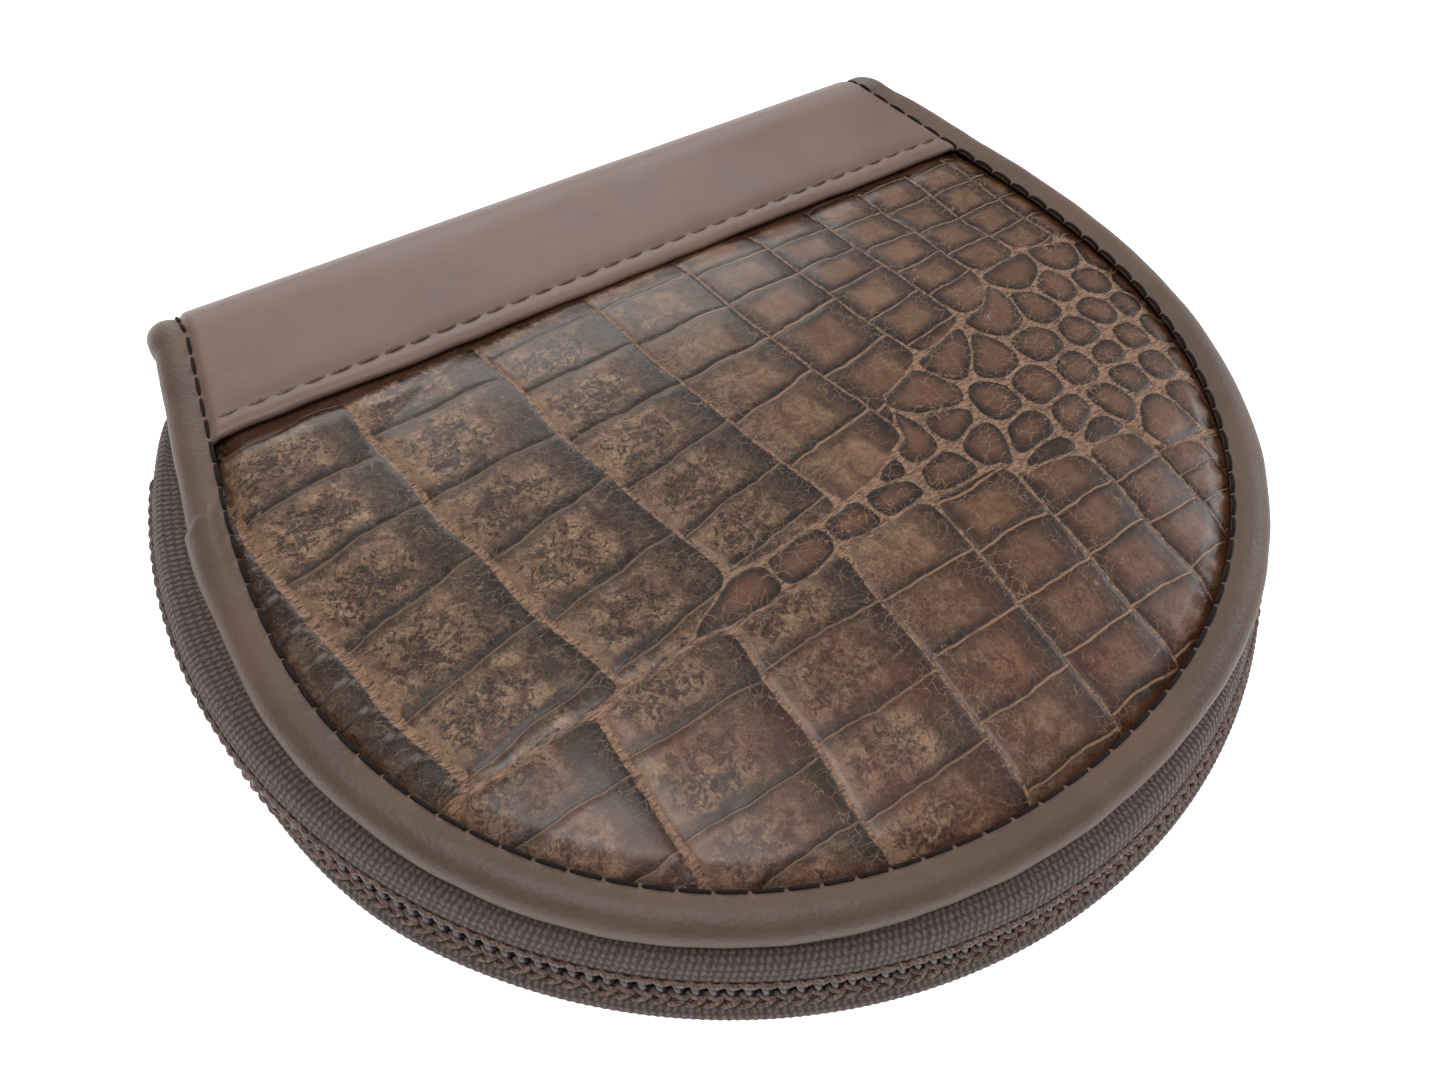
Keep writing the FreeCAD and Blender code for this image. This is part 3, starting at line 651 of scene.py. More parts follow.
def scale_fields(x, y, shift, seed):
    """Values of FIELDS at each point of a panel."""
    x = x + shift + 0.16 * ripple(x, y, 9.0, seed) + 0.05 * ripple(x, y, 1.9, seed + 1)
    y = y + 0.16 * ripple(x, y, 8.0, seed + 2) + 0.05 * ripple(x, y, 2.1, seed + 3)
    run = np.maximum(STRIP_EDGE - y, 0.0)
    drift = 0.025 * run + 0.0033 * run ** 2
    rear_edges = [place + (0.92 + 0.08 * index) * drift for index, place in enumerate(REAR_GROOVES)]
    front_edges = [np.full_like(x, place) for place in FRONT_GROOVES]
    higher = 5.0 * ramp(0.0, 10.0, x)
    lean = 0.03 + 0.14 * ramp(12.0 + higher, 2.0 + higher, y)
    lean = lean + 0.1 * ramp(-30.0, -36.0, x) * ramp(0.0, 12.0, y)
    rear = column_fields(x, y, rear_edges, REAR_ROWS, lean)
    front = column_fields(x, y, front_edges, FRONT_ROWS, 0.03 * ramp(-10.0, 20.0, x))
    rear_end = curve_at(REAR_END, x)
    front_start = curve_at(FRONT_START, x)
    is_rear = y > rear_end
    is_front = y < front_start
    in_band = ~(is_rear | is_front)

    left, right, row, tone = [np.where(is_front, b, a) for a, b in zip(rear, front)]
    border = np.where(is_front, front_start - y, y - rear_end)
    border = border * (1 + 1.2 * ramp(-10.0, -19.0, x))
    rim = soft_least([x - left, right - x, border], 1.5) + 0.25
    across = np.clip((x - left) / (right - left), 0.0, 1.0)

    seeds = np.array(SMALL_SCALES)
    nearest = ((x[:, None] - seeds[:, 0]) ** 2 + (y[:, None] - seeds[:, 1]) ** 2).argmin(axis=1)
    home = seeds[nearest]
    gap = seeds[None] - home[:, None]
    length = np.hypot(gap[..., 0], gap[..., 1])
    length[length == 0] = 1.0  # the scale itself, which has no wall with itself
    middle = 0.5 * (seeds[None] + home[:, None])
    to_middle = middle - np.stack([x, y], axis=-1)[:, None]
    to_edge = (to_middle * gap).sum(axis=-1) / length
    to_edge[np.arange(len(x)), nearest] = FAR
    walls = soft_least(list(to_edge.T) + [rear_end - y, y - front_start], 2.0) + 0.2
    rim = np.clip(np.where(in_band, walls, rim), 0.0, 4.0)
    # Open grooves are wide on the left and close up to the right.
    width = np.where(in_band, 0.36, 0.43 + 0.01 * ramp(25.0, -5.0, x) + 0.32 * ramp(-5.0, -44.0, x))
    groove = np.clip(rim / width, 0.0, 4.0)
    own_tone = np.random.default_rng(seed + 9).uniform(0, 1, len(seeds))
    tone = np.where(in_band, own_tone[nearest], tone)
    row = np.where(in_band, 0.5, row)
    across = np.where(in_band, 0.4, across)
    small = np.where(in_band, 1.0, ramp(-14.0, 14.0, x) * 0.4)
    # A raw edge shows in front of the spine strip, wider on the left, darkened as painted shadow under the
    # strip's front edge.
    raw_edge_and_shade = ramp(-0.2, 0.1, y - 24.3 + 0.9 * ramp(-12.0, -44.0, x))
    # And painted shade in the crack where the panel meets the rolled edge.
    crack_shade = ramp(-0.95, -0.55, reach(x - shift, y) + 0.12 * ripple(x, y, 2.2, seed + 14))
    raw_edge_and_shade = np.maximum(raw_edge_and_shade, 0.9 * crack_shade)
    rust = np.clip(ramp(-12.0, -24.0, y) * (0.6 + 0.4 * ripple(x, y, 7.0, seed + 12)), 0.0, 1.0)
    return groove, rim, row, across, tone, small, rust, raw_edge_and_shade


def panel_height(x, y, flat):
    """Height of the panel above the mating plane, before its grooves."""
    if flat:
        top = BASE_PANEL
    else:
        drop = (x / 97.0) ** 2 + ((y + 5.7) / 71.0) ** 2
        top = np.maximum(LID_CROWN - 2.2 * (drop / 0.217) ** 1.35, LID_LEATHER + 0.12)
    # The panel turns down to the rolled edge.
    return top - 0.55 * ramp(-2.8, -0.1, reach(x, y)) - 0.34 * ramp(21.5, 24.6, y)


def scale_panel(half, pitch, shift, seed):
    """The scaled panel: a dense sheet with a closed back."""
    xs = np.arange(-47.2, 47.2 + pitch / 2, pitch)
    ys = np.arange(-40.0, 26.2, pitch)
    grid_x, grid_y = np.meshgrid(xs, ys)
    keep = reach(grid_x, grid_y) < 1.1
    number = np.full(keep.shape, -1)
    number[keep] = np.arange(keep.sum())
    x, y = grid_x[keep], grid_y[keep]
    fields = scale_fields(x, y, shift, seed)
    groove, rim, row, across, _, small, _, raw_edge_and_shade = fields
    z = panel_height(x, y, half == "base")
    z = z - (0.18 - 0.09 * small) * ramp(1.5, 0.2, groove)
    z = z - 0.08 * ramp(0.0, 0.4, raw_edge_and_shade)
    # The seam puckers the panel a little.
    around = np.arctan2(x, -(y + 2.0)) * 42.0
    inward = reach(x, y) + 0.9
    pucker = np.cos(2 * math.pi * around / STITCH_PITCH + ripple(x, y, 9.0, 61))
    z = z + 0.05 * pucker * np.exp(-(inward / 0.9) ** 2)
    # Scales are slightly domed, and their cross lines are shallow folds.
    z = z + 0.07 * ramp(0.3, 2.4, rim)
    fraction = row - np.floor(row)
    line = np.minimum(fraction, 1 - fraction) * 6.0
    # Those of the puffy border scales on the left are deep.
    border = (np.abs(across - 0.93) < 0.2) * ramp(-36.0, -40.0, x) * ramp(-18.0, -14.0, y)
    border = border * ramp(0.2, 0.9, rim)
    depth = 0.045 + 0.16 * border
    z = z - depth * ramp(0.4 + 0.25 * border, 0.0, line) * (1 - ramp(0.7, 1.0, small)) + 0.12 * border
    z = z + 0.006 * ripple(x, y, 2.6, seed + 5) + 0.03 * ripple(x, y, 9.0, seed + 6)
    corners = [number[:-1, :-1], number[:-1, 1:], number[1:, 1:], number[1:, :-1]]
    whole = np.logical_and.reduce([corner >= 0 for corner in corners])
    faces = np.stack([corner[whole] for corner in corners], axis=1)
    points = np.column_stack([x, y, z])

    # Walls down to a flat back, from the edges used by one face only.
    hops = np.vstack([faces[:, [side, (side + 1) % 4]] for side in range(4)])
    pairs = np.sort(hops, axis=1)
    keys = pairs[:, 0].astype(np.int64) * len(points) + pairs[:, 1]
    _, first, counts = np.unique(keys, return_index=True, return_counts=True)
    outer = hops[first[counts == 1]]
    follow = dict(map(tuple, outer.tolist()))
    ring = [int(outer[0, 0])]
    while follow[ring[-1]] != ring[0]:
        ring.append(follow[ring[-1]])
    under = points[ring].copy()
    under[:, 2] = PANEL_BACK
    base = len(points)
    count = len(ring)
    walls = [(ring[(k + 1) % count], ring[k], base + k, base + (k + 1) % count) for k in range(count)]
    back = [tuple(range(base + count - 1, base - 1, -1))]
    points = np.vstack([points, under])
    # The walls and the back are plain: far from any groove.
    plain = (4.0, 4.0, 0.5, 0.4, 0.5, 0.0, 0.0, 0.0)
    marks = {word: np.concatenate([values, np.full(count, rest)])
             for word, values, rest in zip(FIELDS, fields, plain)}
    piece = make_mesh(half + "_scaled_leather", placed(points, half), faces.tolist() + walls + back, marks)
    dress(piece, scales)
    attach(piece, half)
    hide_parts(half + "_scale_panel")


scale_panel("lid", 0.25, 0.0, 11)
scale_panel("base", 0.3, 4.6, 47)


# ---------------- rolled edge

# Section of the rolled edge: reach from the stitch line, height above the mating plane.
ROLL_SECTION = (
    (-0.36, 6.18), (-0.42, 6.50), (-0.22, 6.70), (0.20, 6.74), (0.70, 6.82), (1.30, 6.84), (2.00, 6.66),
    (2.60, 6.26), (3.00, 5.70), (3.15, 5.02), (3.04, 4.30), (2.60, 3.68), (1.90, 3.44), (0.90, 3.46),
    (-0.25, 3.50), (-0.30, 4.06), (0.60, 4.13), (1.90, 4.16), (1.98, 5.10), (1.90, 6.14), (0.80, 6.17),
)


def edge_loop(step):
    """Path of the rolled edge: lid, right end of the fold, base, left end of the fold."""
    points, normals, lengths = whole_outline(step, FOLD_Y)
    count = len(points)
    bend_count = 26
    bend = np.linspace(0, math.pi, bend_count + 2)[1:-1]
    right = np.tile([FOLD_HALF, FOLD_Y], (bend_count, 1))
    left = right * (-1, 1)
    path = np.vstack([points, right, points[::-1], left])
    outward = np.vstack([normals, np.tile([1.0, 0.0], (bend_count, 1)), normals[::-1],
                         np.tile([-1.0, 0.0], (bend_count, 1))])
    turn = np.concatenate([np.zeros(count), bend, np.full(count, math.pi), bend[::-1]])
    bend_length = bend * FOLD_BEND
    total = lengths[-1]
    full_bend = math.pi * FOLD_BEND
    run = np.concatenate([lengths, total + bend_length, total + full_bend + lengths,
                          2 * total + full_bend + bend_length])
    return path, outward, turn, run


def on_edge(point, normal, turn, grow, height):
    """A place on the rolled edge's section at one point of its path."""
    return joined(point[..., 0] + normal[..., 0] * grow,
                  point[..., 1] + normal[..., 1] * grow + height * np.sin(turn),
                  MID + height * np.cos(turn))


def rolled_edge():
    """One strip of leather rolled round the whole edge, lid, fold and base."""
    path, outward, turn, run = edge_loop(STITCH_PITCH / 5)
    section = rounded(ROLL_SECTION)
    grow, height = section[:, 0][None], section[:, 1][None]
    # The roll was turned fuller on the right of the lid.
    x, y = path[:, :1], path[:, 1:]
    on_lid = turn[:, None] == 0
    fuller = 0.24 * ramp(10.0, 40.0, x) * on_lid * ramp(FOLD_Y, 30.0, y)
    grow = np.where(grow > 0.3, grow * (1 + fuller), grow)
    # The strip's lap: its front end lies over the other on the left of the lid.
    on_left = (x < 0) & on_lid
    lap = np.where(on_left, ramp(0.16, -0.10, y - (17.8 - 0.45 * grow)) * ramp(7.0, 15.0, y), 0.0)
    middle = np.array([1.4, 5.1])
    away = np.stack(np.broadcast_arrays(grow - middle[0], height - middle[1]))
    away = away / np.maximum(np.hypot(*away), 0.5)
    outer = ramp(0.1, 1.2, grow)
    wave = 0.05 * ripple(run, 0 * run, 17.0, 5) + 0.025 * ripple(run, 0 * run, 4.0, 6)
    lift = (0.36 * lap + wave[:, None]) * outer
    grow = grow + lift * away[0]
    height = height + lift * away[1]
    # Needle holes pull the leather down at both ends of each stitch.
    phase = np.mod(run, STITCH_PITCH)[:, None] / STITCH_PITCH
    hole = np.exp(-(np.minimum(phase, 1 - phase) * STITCH_PITCH / 0.30) ** 2)
    near = np.exp(-((grow + 0.18) / 0.40) ** 2) * (height > 6.3)
    height = height - (0.05 + 0.22 * hole) * near
    rows = on_edge(path[:, None], outward[:, None], turn[:, None], grow, height)
    piece = loop_of("rolled_edge_leather", rows, True)
    dress(piece, edge_leather)
    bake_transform(piece)
    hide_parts("lid_binding", "base_binding")


def edge_stitches():
    """Stitches along the inner foot of the rolled edge, their thread painted near black as the shade of the
    crevice they sink into.
    """
    path, outward, turn, run = edge_loop(STITCH_PITCH / 5)
    lines = []
    arch = ((-1.16, -0.42), (-1.0, -0.08), (-0.5, 0.06), (0.0, 0.09),
            (0.5, 0.06), (1.0, -0.08), (1.16, -0.42))
    for middle in np.arange(STITCH_PITCH / 2, run[-1], STITCH_PITCH):
        line = []
        for ahead, rise in arch:
            place = middle + ahead
            point = np.array([np.interp(place, run, path[:, k]) for k in (0, 1)])
            normal = np.array([np.interp(place, run, outward[:, k]) for k in (0, 1)])
            normal /= max(np.hypot(*normal), 1e-6)
            bend = np.interp(place, run, turn)
            line.append(on_edge(point, normal, bend, np.float64(-0.26), np.float64(6.60 + rise)))
        lines.append(line)
    piece = tubes("edge_stitches", lines, 0.17, 8)
    dress(piece, shaded_thread)
    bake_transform(piece)
    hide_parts("lid_binding_stitches", "base_binding_stitches")


rolled_edge()
edge_stitches()


# ---------------- spine

def width_at(y, grow):
    """Half the width of the outline grown by a size, at each y."""
    y = np.minimum(np.asarray(y, float), FOLD_Y)
    low, high = np.zeros_like(y), np.full_like(y, 60.0)
    for _ in range(40):
        middle = 0.5 * (low + high)
        inside = reach(middle, y) < grow
        low, high = np.where(inside, middle, low), np.where(inside, high, middle)
    return low


def around_fold(front, height, count=18):
    """Path in y and z from a half's front, round the fold and back along the other half."""
    bend = np.linspace(0, math.pi, count)
    path = [(y, z) for y, z in front]
    path += [(FOLD_Y + height * math.sin(turn), height * math.cos(turn)) for turn in bend]
    path += [(y, -z) for y, z in reversed(front)]
    return np.array(path)


def spine_strip():
    """Plain leather from its turned edge on the lid round the fold to the base."""
    top = [(24.98, 6.22), (STRIP_EDGE, 6.34), (24.66, 6.62), (24.80, 6.88), (25.15, 6.99),
           (25.70, 7.00), (26.30, 6.93), (26.62, 6.84), (SEAM_Y, 6.80), (26.98, 6.84), (27.30, 6.92),
           (28.20, 6.97), (29.6, 6.96), (31.2, 6.94), (33.0, 6.93), (35.0, 6.94), (36.6, STRIP_TOP)]
    under = [(25.3, 6.24), (28.0, STRIP_UNDER), (33.0, STRIP_UNDER), (36.6, STRIP_UNDER)]
    outer = around_fold(top, STRIP_TOP)
    inner = around_fold(under, STRIP_UNDER)
    section = np.vstack([outer, inner[::-1]])
    is_outer = np.arange(len(section)) < len(outer)
    share = np.linspace(-1, 1, 181)
    share = np.sign(share) * (1 - (1 - np.abs(share)) ** 1.15)
    half = width_at(section[:, 0], 0.25)
    x = share[:, None] * half[None]
    y = np.broadcast_to(section[:, 0], x.shape).copy()
    z = np.broadcast_to(section[:, 1], x.shape).copy()
    front = ramp(30.0, 24.8, y)
    y += 0.16 * front * ripple(x, 0 * x, 30.0, 21) + 0.04 * front * ripple(x, 0 * x, 5.0, 22)
    sag = 0.07 * ripple(x, y, 24.0, 23) + 0.02 * ripple(x, y, 6.0, 24)
    lift = sag * is_outer * (0.3 + 0.7 * ramp(25.2, 27.5, y)) * ramp(38.5, 36.0, y)
    z += np.sign(z) * lift
    # Its sides turn down under the rolled edge.
    side = ramp(-1.1, -0.25, reach(x, np.minimum(y, FOLD_Y)))
    past = y - FOLD_Y
    bend = np.hypot(np.maximum(past, 0.0), z)
    shrink = np.where(is_outer, 1 - 0.42 * side / np.maximum(bend, 1.0), 1.0)
    y = np.where(past > 0, FOLD_Y + past * shrink, y)
    z = z * shrink
    # Each stitch draws its own hollow in the seam.
    phase = np.cos(2 * math.pi * x / STITCH_PITCH)
    z -= np.sign(z) * is_outer * 0.07 * np.exp(-((y - SEAM_Y) / 0.35) ** 2) * (0.5 - 0.5 * phase)
    piece = solids("spine_strip_leather", [joined(x, y, z + MID)])
    dress(piece, strip_leather)
    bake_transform(piece)
    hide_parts("lid_spine_strip", "base_spine_strip")


def strip_stitches(half):
    """Stitches of the seam along the strip's front edge, each a little askew."""
    count = 32
    skew = 0.10
    arch = ((-1.02, -0.38), (-0.84, -0.05), (-0.4, 0.07), (0.0, 0.10),
            (0.4, 0.07), (0.84, -0.05), (1.02, -0.38))
    lines = []
    for index in range(count):
        x = (index - (count - 1) / 2) * STITCH_PITCH
        line = [(x + ahead, SEAM_Y + skew * ahead, 6.78 + rise) for ahead, rise in arch]
        lines.append(placed(line, half))
    piece = tubes(half + "_seam_stitches", lines, 0.20, 8)
    dress(piece, olive_thread)
    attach(piece, half)
    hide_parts(half + "_strip_stitches")


spine_strip()
strip_stitches("lid")
strip_stitches("base")


# ---------------- inside

def lining():
    """Lining leather of both halves in one sheet, round the inside of the fold."""
    nose = -39.6
    rear = FOLD_Y - 0.6
    fold_width = 40.1
    front = [nose + (rear - nose) * t ** 1.6 for t in np.linspace(0, 1, 60)]
    outer, inner = [around_fold([(y, height) for y in front], height, 16)
                    for height in (LINING_TOP, LINING_UNDER)]
    half = width_at(outer[:, 0], 1.0)
    half[[0, -1]] = 6.0
    half[[1, -2]] = np.maximum(half[[1, -2]], 8.0)
    widest = fold_width + 8 * ramp(37.1, 30.0, outer[:, 0])
    half = np.where(outer[:, 0] > rear, fold_width, np.minimum(half, widest))
    share = np.linspace(-1, 1, 61)
    x = half[:, None] * share[None]
    sheets = []
    for path in (outer, inner):
        y, z = path[:, :1], path[:, 1:]
        sheets.append(joined(x, y, z - np.sign(z) * 0.04 * ripple(x, y, 14.0, 31) + MID))
    rows = np.concatenate([sheets[0], sheets[1][:, ::-1]], axis=1)
    piece = solids("lining_leather", [rows])
    dress(piece, inner_leather)
    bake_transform(piece)
    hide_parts("lid_lining", "base_lining")


def slip_pocket():
    """Flat pocket inside the lid, open towards the spine, with a turned mouth."""
    run = np.linspace(0, 1, 44)
    foot, mouth = -33.7, 8.0
    y = foot + (mouth - foot) * run ** 1.4
    half = width_at(y, -5.1)
    half[0] = 5.0
    share = np.linspace(-1, 1, 45)
    x, y = half[:, None] * share[None], y[:, None]
    gape = 0.35 * ramp(-12.0, mouth, y) * (1 - (x / 41.0) ** 2)
    turned = 0.22 * ramp(4.6, 5.0, y)
    seam = 0.12 * np.exp(-((y - 5.6) / 0.22) ** 2)
    rim = 0.3 * ramp(-6.2, -5.2, reach(x, y))
    low = 3.72 - gape - turned + seam + rim
    back = 4.10 - gape * 0.9
    section = np.concatenate([joined(x, y, back), joined(x, y, low)[:, ::-1]], axis=1)
    piece = solids("lid_pocket_leather", [placed(section, "lid")])
    dress(piece, inner_leather)
    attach(piece, "lid")
    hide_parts("lid_slip_pocket")


def padding(half):
    """Foam under the scaled leather, crowned and thinning to its edge."""
    shares = np.sin(np.linspace(0, math.pi / 2, 15))
    rear = 23.0
    path, _, _ = whole_outline(2.0, rear)
    straight = np.linspace(path[-1, 0], path[0, 0], 40)[1:-1]
    ring = np.vstack([path, np.column_stack([straight, np.full(len(straight), rear)])])
    centre = np.array([0.0, -6.0])
    arms = (ring - centre) * 0.955
    rows = []
    for share in shares:
        spot = centre + arms * share
        top = panel_height(spot[:, 0], spot[:, 1], half == "base") - 0.85
        top = top - 0.25 * ramp(0.8, 1.0, share)
        rows.append(np.column_stack([spot, np.maximum(top, 5.42)]))
    rows += [np.column_stack([centre + arms * share, np.full(len(ring), 5.34)]) for share in shares[::-1]]
    piece = loop_of(half + "_padding_foam", placed(rows, half), False)
    dress(piece, foam)
    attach(piece, half)
    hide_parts(half + "_padding")


lining()
slip_pocket()
padding("lid")
padding("base")


# ---------------- zip

def zip_place(turn, radius, height):
    """A place by its angle from the nose, radius about the zip's centre and height above the middle."""
    turn = np.radians(turn)
    return joined(radius * np.sin(turn), ZIP_Y - radius * np.cos(turn), MID + height)


SIGN = {"lid": 1, "base": -1}  # which side of the mating plane
PITCH_TURN = math.degrees(COIL_PITCH / ZIP_RADIUS)
TAPE_LOW, TAPE_HIGH = 1.30, 3.42  # heights between which the tape's section is drawn

# Sections of the tapes: share of the flange inward, out from the wall, how far the swell carries
# it out, height from the middle, and how much the ribs show.
LID_TAPE = (
    (1.0, 0.0, 0, 3.42, 0), (0.5, 0.0, 0, 3.42, 0), (0.0, -1.0, 0, 3.34, 0.5), (0.0, -0.5, 0, 3.10, 1),
    (0.0, -0.10, 0, 2.62, 1), (0.0, 0.16, 0, 2.12, 1), (0.0, 0.40, 0, 1.66, 1), (0.0, 0.46, 0, 1.32, 0.3),
    (0.0, 0.16, 0, 1.30, 0), (0.0, 0.02, 0, 1.70, 0), (0.0, -0.26, 0, 2.20, 0), (0.0, -0.48, 0, 2.58, 0),
    (0.0, -0.84, 0, 2.84, 0), (0.0, -1.3, 0, 2.95, 0), (0.5, 0.0, 0, 3.0, 0), (1.0, 0.0, 0, 3.0, 0),
)
BASE_TAPE = (
    (1.0, 0.0, 0, 3.42, 0), (0.5, 0.0, 0, 3.42, 0), (0.0, -0.5, 0.9, 3.42, 0),
    (0.0, -0.1, 1.35, 3.30, 0.5), (0.0, 0.0, 1.9, 3.02, 1), (0.0, 0.08, 2.15, 2.60, 1),
    (0.0, 0.18, 2.0, 2.18, 1), (0.0, 0.32, 1.6, 1.82, 1), (0.0, 0.42, 1.05, 1.52, 0.6),
    (0.0, 0.46, 0.5, 1.34, 0), (0.0, 0.16, 0.3, 1.30, 0), (0.0, 0.04, 0.6, 1.62, 0),
    (0.0, -0.12, 1.1, 1.98, 0), (0.0, -0.28, 1.55, 2.36, 0), (0.0, -0.32, 1.5, 2.76, 0),
    (0.0, -0.8, 0.9, 2.96, 0), (0.5, 0.0, 0, 3.0, 0), (1.0, 0.0, 0, 3.0, 0),
)


def swell(turn):
    """How far the base's tape stands out: full round the nose, none by the slider and on the left."""
    return ramp(-92.0, -58.0, turn) * ramp(100.0, 70.0, turn)


def tape_path():
    """Places, normals and the nose's number along the tape's wall: round the zip's arc, then
    curling in under the ends of the fold."""
    step = COIL_PITCH / 4
    turns = np.radians(np.arange(0, 119.0, math.degrees(step / ZIP_RADIUS)))
    points = [np.array([ZIP_RADIUS * math.sin(t), ZIP_Y - ZIP_RADIUS * math.cos(t)]) for t in turns]
    heading = turns[-1]
    for bend in [1.4] * 13 + [5.6] * 17:
        heading += math.radians(bend)
        points.append(points[-1] + step * np.array([math.cos(heading), math.sin(heading)]))
    points = np.array(points)
    ahead = headings(points)
    normals = np.column_stack([ahead[:, 1], -ahead[:, 0]])
    nose = len(points) - 1
    return mirrored(points), mirrored(normals), nose


def zip_tape(half):
    """Woven tape from the coil up the wall, and its flange sewn in under the rolled edge."""
    points, normals, middle = tape_path()
    count = len(points)
    along = (np.arange(count) - middle) * COIL_PITCH / 4
    turn = np.degrees(along / ZIP_RADIUS)
    # Width of the sewn flange, from the wall in to just inside the stitch line.
    inset = np.clip(reach(points[:, 0], points[:, 1]) + 1.8, 1.6, 12.0)
    inset = np.where(np.abs(turn) > 112, np.minimum(inset, 2.7), inset)
    inset = np.convolve(np.pad(inset, 6, "edge"), np.ones(13) / 13, "valid")
    lowest = 1.32 - 1.18 * ramp(117.5, 120.5, np.abs(turn))
    over = np.clip(points[:, 1] - FOLD_Y, 0, 3.3)
    highest = np.minimum(TAPE_HIGH, np.sqrt(3.38 ** 2 - over ** 2) + 0.04)
    calm = ramp(125.0, 116.0, np.abs(turn))
    ridge = 0.03 * np.cos(4 * math.pi * along / COIL_PITCH)
    puff = swell(turn) if half == "base" else 0 * turn
    section = LID_TAPE if half == "lid" else BASE_TAPE
    rows = []
    for index in range(count):
        row = []
        for inward, out, puffed, height, wave in section:
            out = (out + puffed * puff[index] + wave * ridge[index]) * (calm[index] if out > 0 else 1.0)
            out -= inward * inset[index]
            share = (height - TAPE_LOW) / (TAPE_HIGH - TAPE_LOW)
            height = lowest[index] + share * (highest[index] - lowest[index])
            spot = points[index] + normals[index] * out
            row.append((spot[0], spot[1], height))
        rows.append(row)
    rows = np.array(rows)
    rows[..., 2] = MID + SIGN[half] * rows[..., 2]
    spans = np.linalg.norm(np.diff(rows[middle], axis=0, append=rows[middle][:1]), axis=1)
    up = np.concatenate([[0.0], np.cumsum(spans)[:-1]])
    marks = {"along": np.repeat(along, len(section)), "up": np.tile(up, count)}
    piece = solids(half + "_woven_tape", [rows], marks)
    dress(piece, tape_cloth)
    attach(piece, half)
    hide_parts(half + "_zip_tape")


def coil(half):
    """One side of the chain: a flattened spiral of nylon whose heads reach between the other's."""
    is_base = half == "base"
    first, last = (-117.0 if is_base else -113.5), 106.9
    begin = math.ceil(first / PITCH_TURN) + (0.75 if is_base else 0.25)
    end = math.floor(last / PITCH_TURN) - 1
    phase = np.arange(begin, end, 1 / 12)
    spin = 2 * math.pi * (phase - (0.5 if is_base else 0.0))
    turn = phase * PITCH_TURN
    # The last heads stand back where the slider's neck comes.
    deep = ramp(-113.2, -111.8, turn)
    lower, upper = 0.62 - 0.88 * deep, 0.95
    wave = np.sin(spin)
    height = 0.5 * (upper + lower) + 0.5 * (upper - lower) * np.sign(wave) * np.abs(wave) ** 0.85
    outward = 0.12 + 0.2 * swell(turn) if is_base else -0.12
    line = zip_place(turn, ZIP_RADIUS + outward + 0.42 * np.cos(spin), SIGN[half] * height)
    piece = tubes(half + "_nylon_coil", [line], 0.285 if is_base else 0.25, 7)
    dress(piece, coil_nylon)
    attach(piece, half)
    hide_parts(half + "_zip_coil")


def knitted_row(half):
    """Chain stitches that hold the coil to its tape."""
    is_base = half == "base"
    first, last = (-116.5 if is_base else -113.0), 106.0
    lift = 0.0 if is_base else 0.24
    # Each stitch has two legs: heights at its ends, and how far the swell carries them.
    legs = ((0.60 + lift, 0.90 + 0.6 * lift, 0.25, 0.5), (1.30, 0.96 + 0.8 * lift, 1.0, 0.55))
    arch = ((0.0, -0.16), (0.3, 0.03), (0.65, 0.08), (1.0, -0.04), (1.12, -0.2))
    lines = []
    for index in range(math.ceil(first / PITCH_TURN), math.floor(last / PITCH_TURN)):
        start = index * PITCH_TURN
        puff = float(swell(start)) if is_base else 0.0
        for low, high, near, far in legs:
            line = []
            for share, out in arch:
                height = low + (high - low) * min(share, 1.0)
                carried = puff * (near + (far - near) * min(share, 1.0))
                turn = start + share * PITCH_TURN * 0.95
                line.append(zip_place(turn, KNIT_RADIUS + out + carried, SIGN[half] * height))
            lines.append(line)
    piece = tubes(half + "_knitted_row", lines, 0.21, 6)
    dress(piece, knit_thread)
    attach(piece, half)


for half in ("lid", "base"):
    zip_tape(half)
    coil(half)
    knitted_row(half)


# ---------------- slider and pull

SLIDER_TURN = 112.2  # degrees from the nose
SLIDER_SPAN = 9.4  # length in degrees
PLATE_OUT = 53.6  # radius of the slider's outer face


def slider_plate(inner, outer):
    """Shield-shaped plate bent to the zip's arc, with rounded edges."""
    rows = []
    edge = 0.22
    middle = 0.5 * (inner + outer)
    ring = [(z, side) for side in (1, -1) for z in (-0.93 * side, -0.5 * side, 0, 0.5 * side, 0.93 * side)]
    ring = [(-1, 0), *ring[:5], (1, 0), *ring[5:]]
    for share in np.linspace(-1, 1, 27):
        along = math.copysign(1 - (1 - abs(share)) ** 1.7, share)
        turn = SLIDER_TURN + along * SLIDER_SPAN / 2
        # Widest a third of the way from the end where the two sides part.
        body = 2.58 - 0.55 * ramp(-0.2, -1.0, along) - 0.10 * ramp(0.4, 1.0, along)
        round_end = math.sqrt(max(0.0, 1 - max(0.0, (abs(along) - 0.72) / 0.28) ** 2.4))
        half = max(0.05, body * (0.35 + 0.65 * round_end))
        taper = 1 if abs(share) < 1 else 0.35
        section = []
        for z, side in ring:
            thick = 0.5 * (outer - inner) * taper
            radius = middle + side * (thick - (edge * 0.4 if abs(z) > 0.9 else 0.0))
            section.append(zip_place(turn, radius, z * half))
        rows.append(section)
    return np.array(rows)


def slider():
    """Two plates joined by a neck between the parted sides of the zip."""
    neck = []
    end = SLIDER_TURN + SLIDER_SPAN / 2 - 0.35
    for radius in (50.6, 51.2, 52.4, 53.0):
        ring = [(end, 0.12), (end - 0.3, 0.3), (end - 1.1, 0.3), (end - 1.45, 0.0), (end - 1.1, -0.3),
                (end - 0.3, -0.3), (end, -0.12)]
        neck.append([zip_place(turn, radius, height) for turn, height in ring])
    piece = solids("slider_body_metal", [slider_plate(52.8, PLATE_OUT), slider_plate(50.0, 50.8), neck])
    dress(piece, brass)
    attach(piece, "slider")
    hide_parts("slider_body")


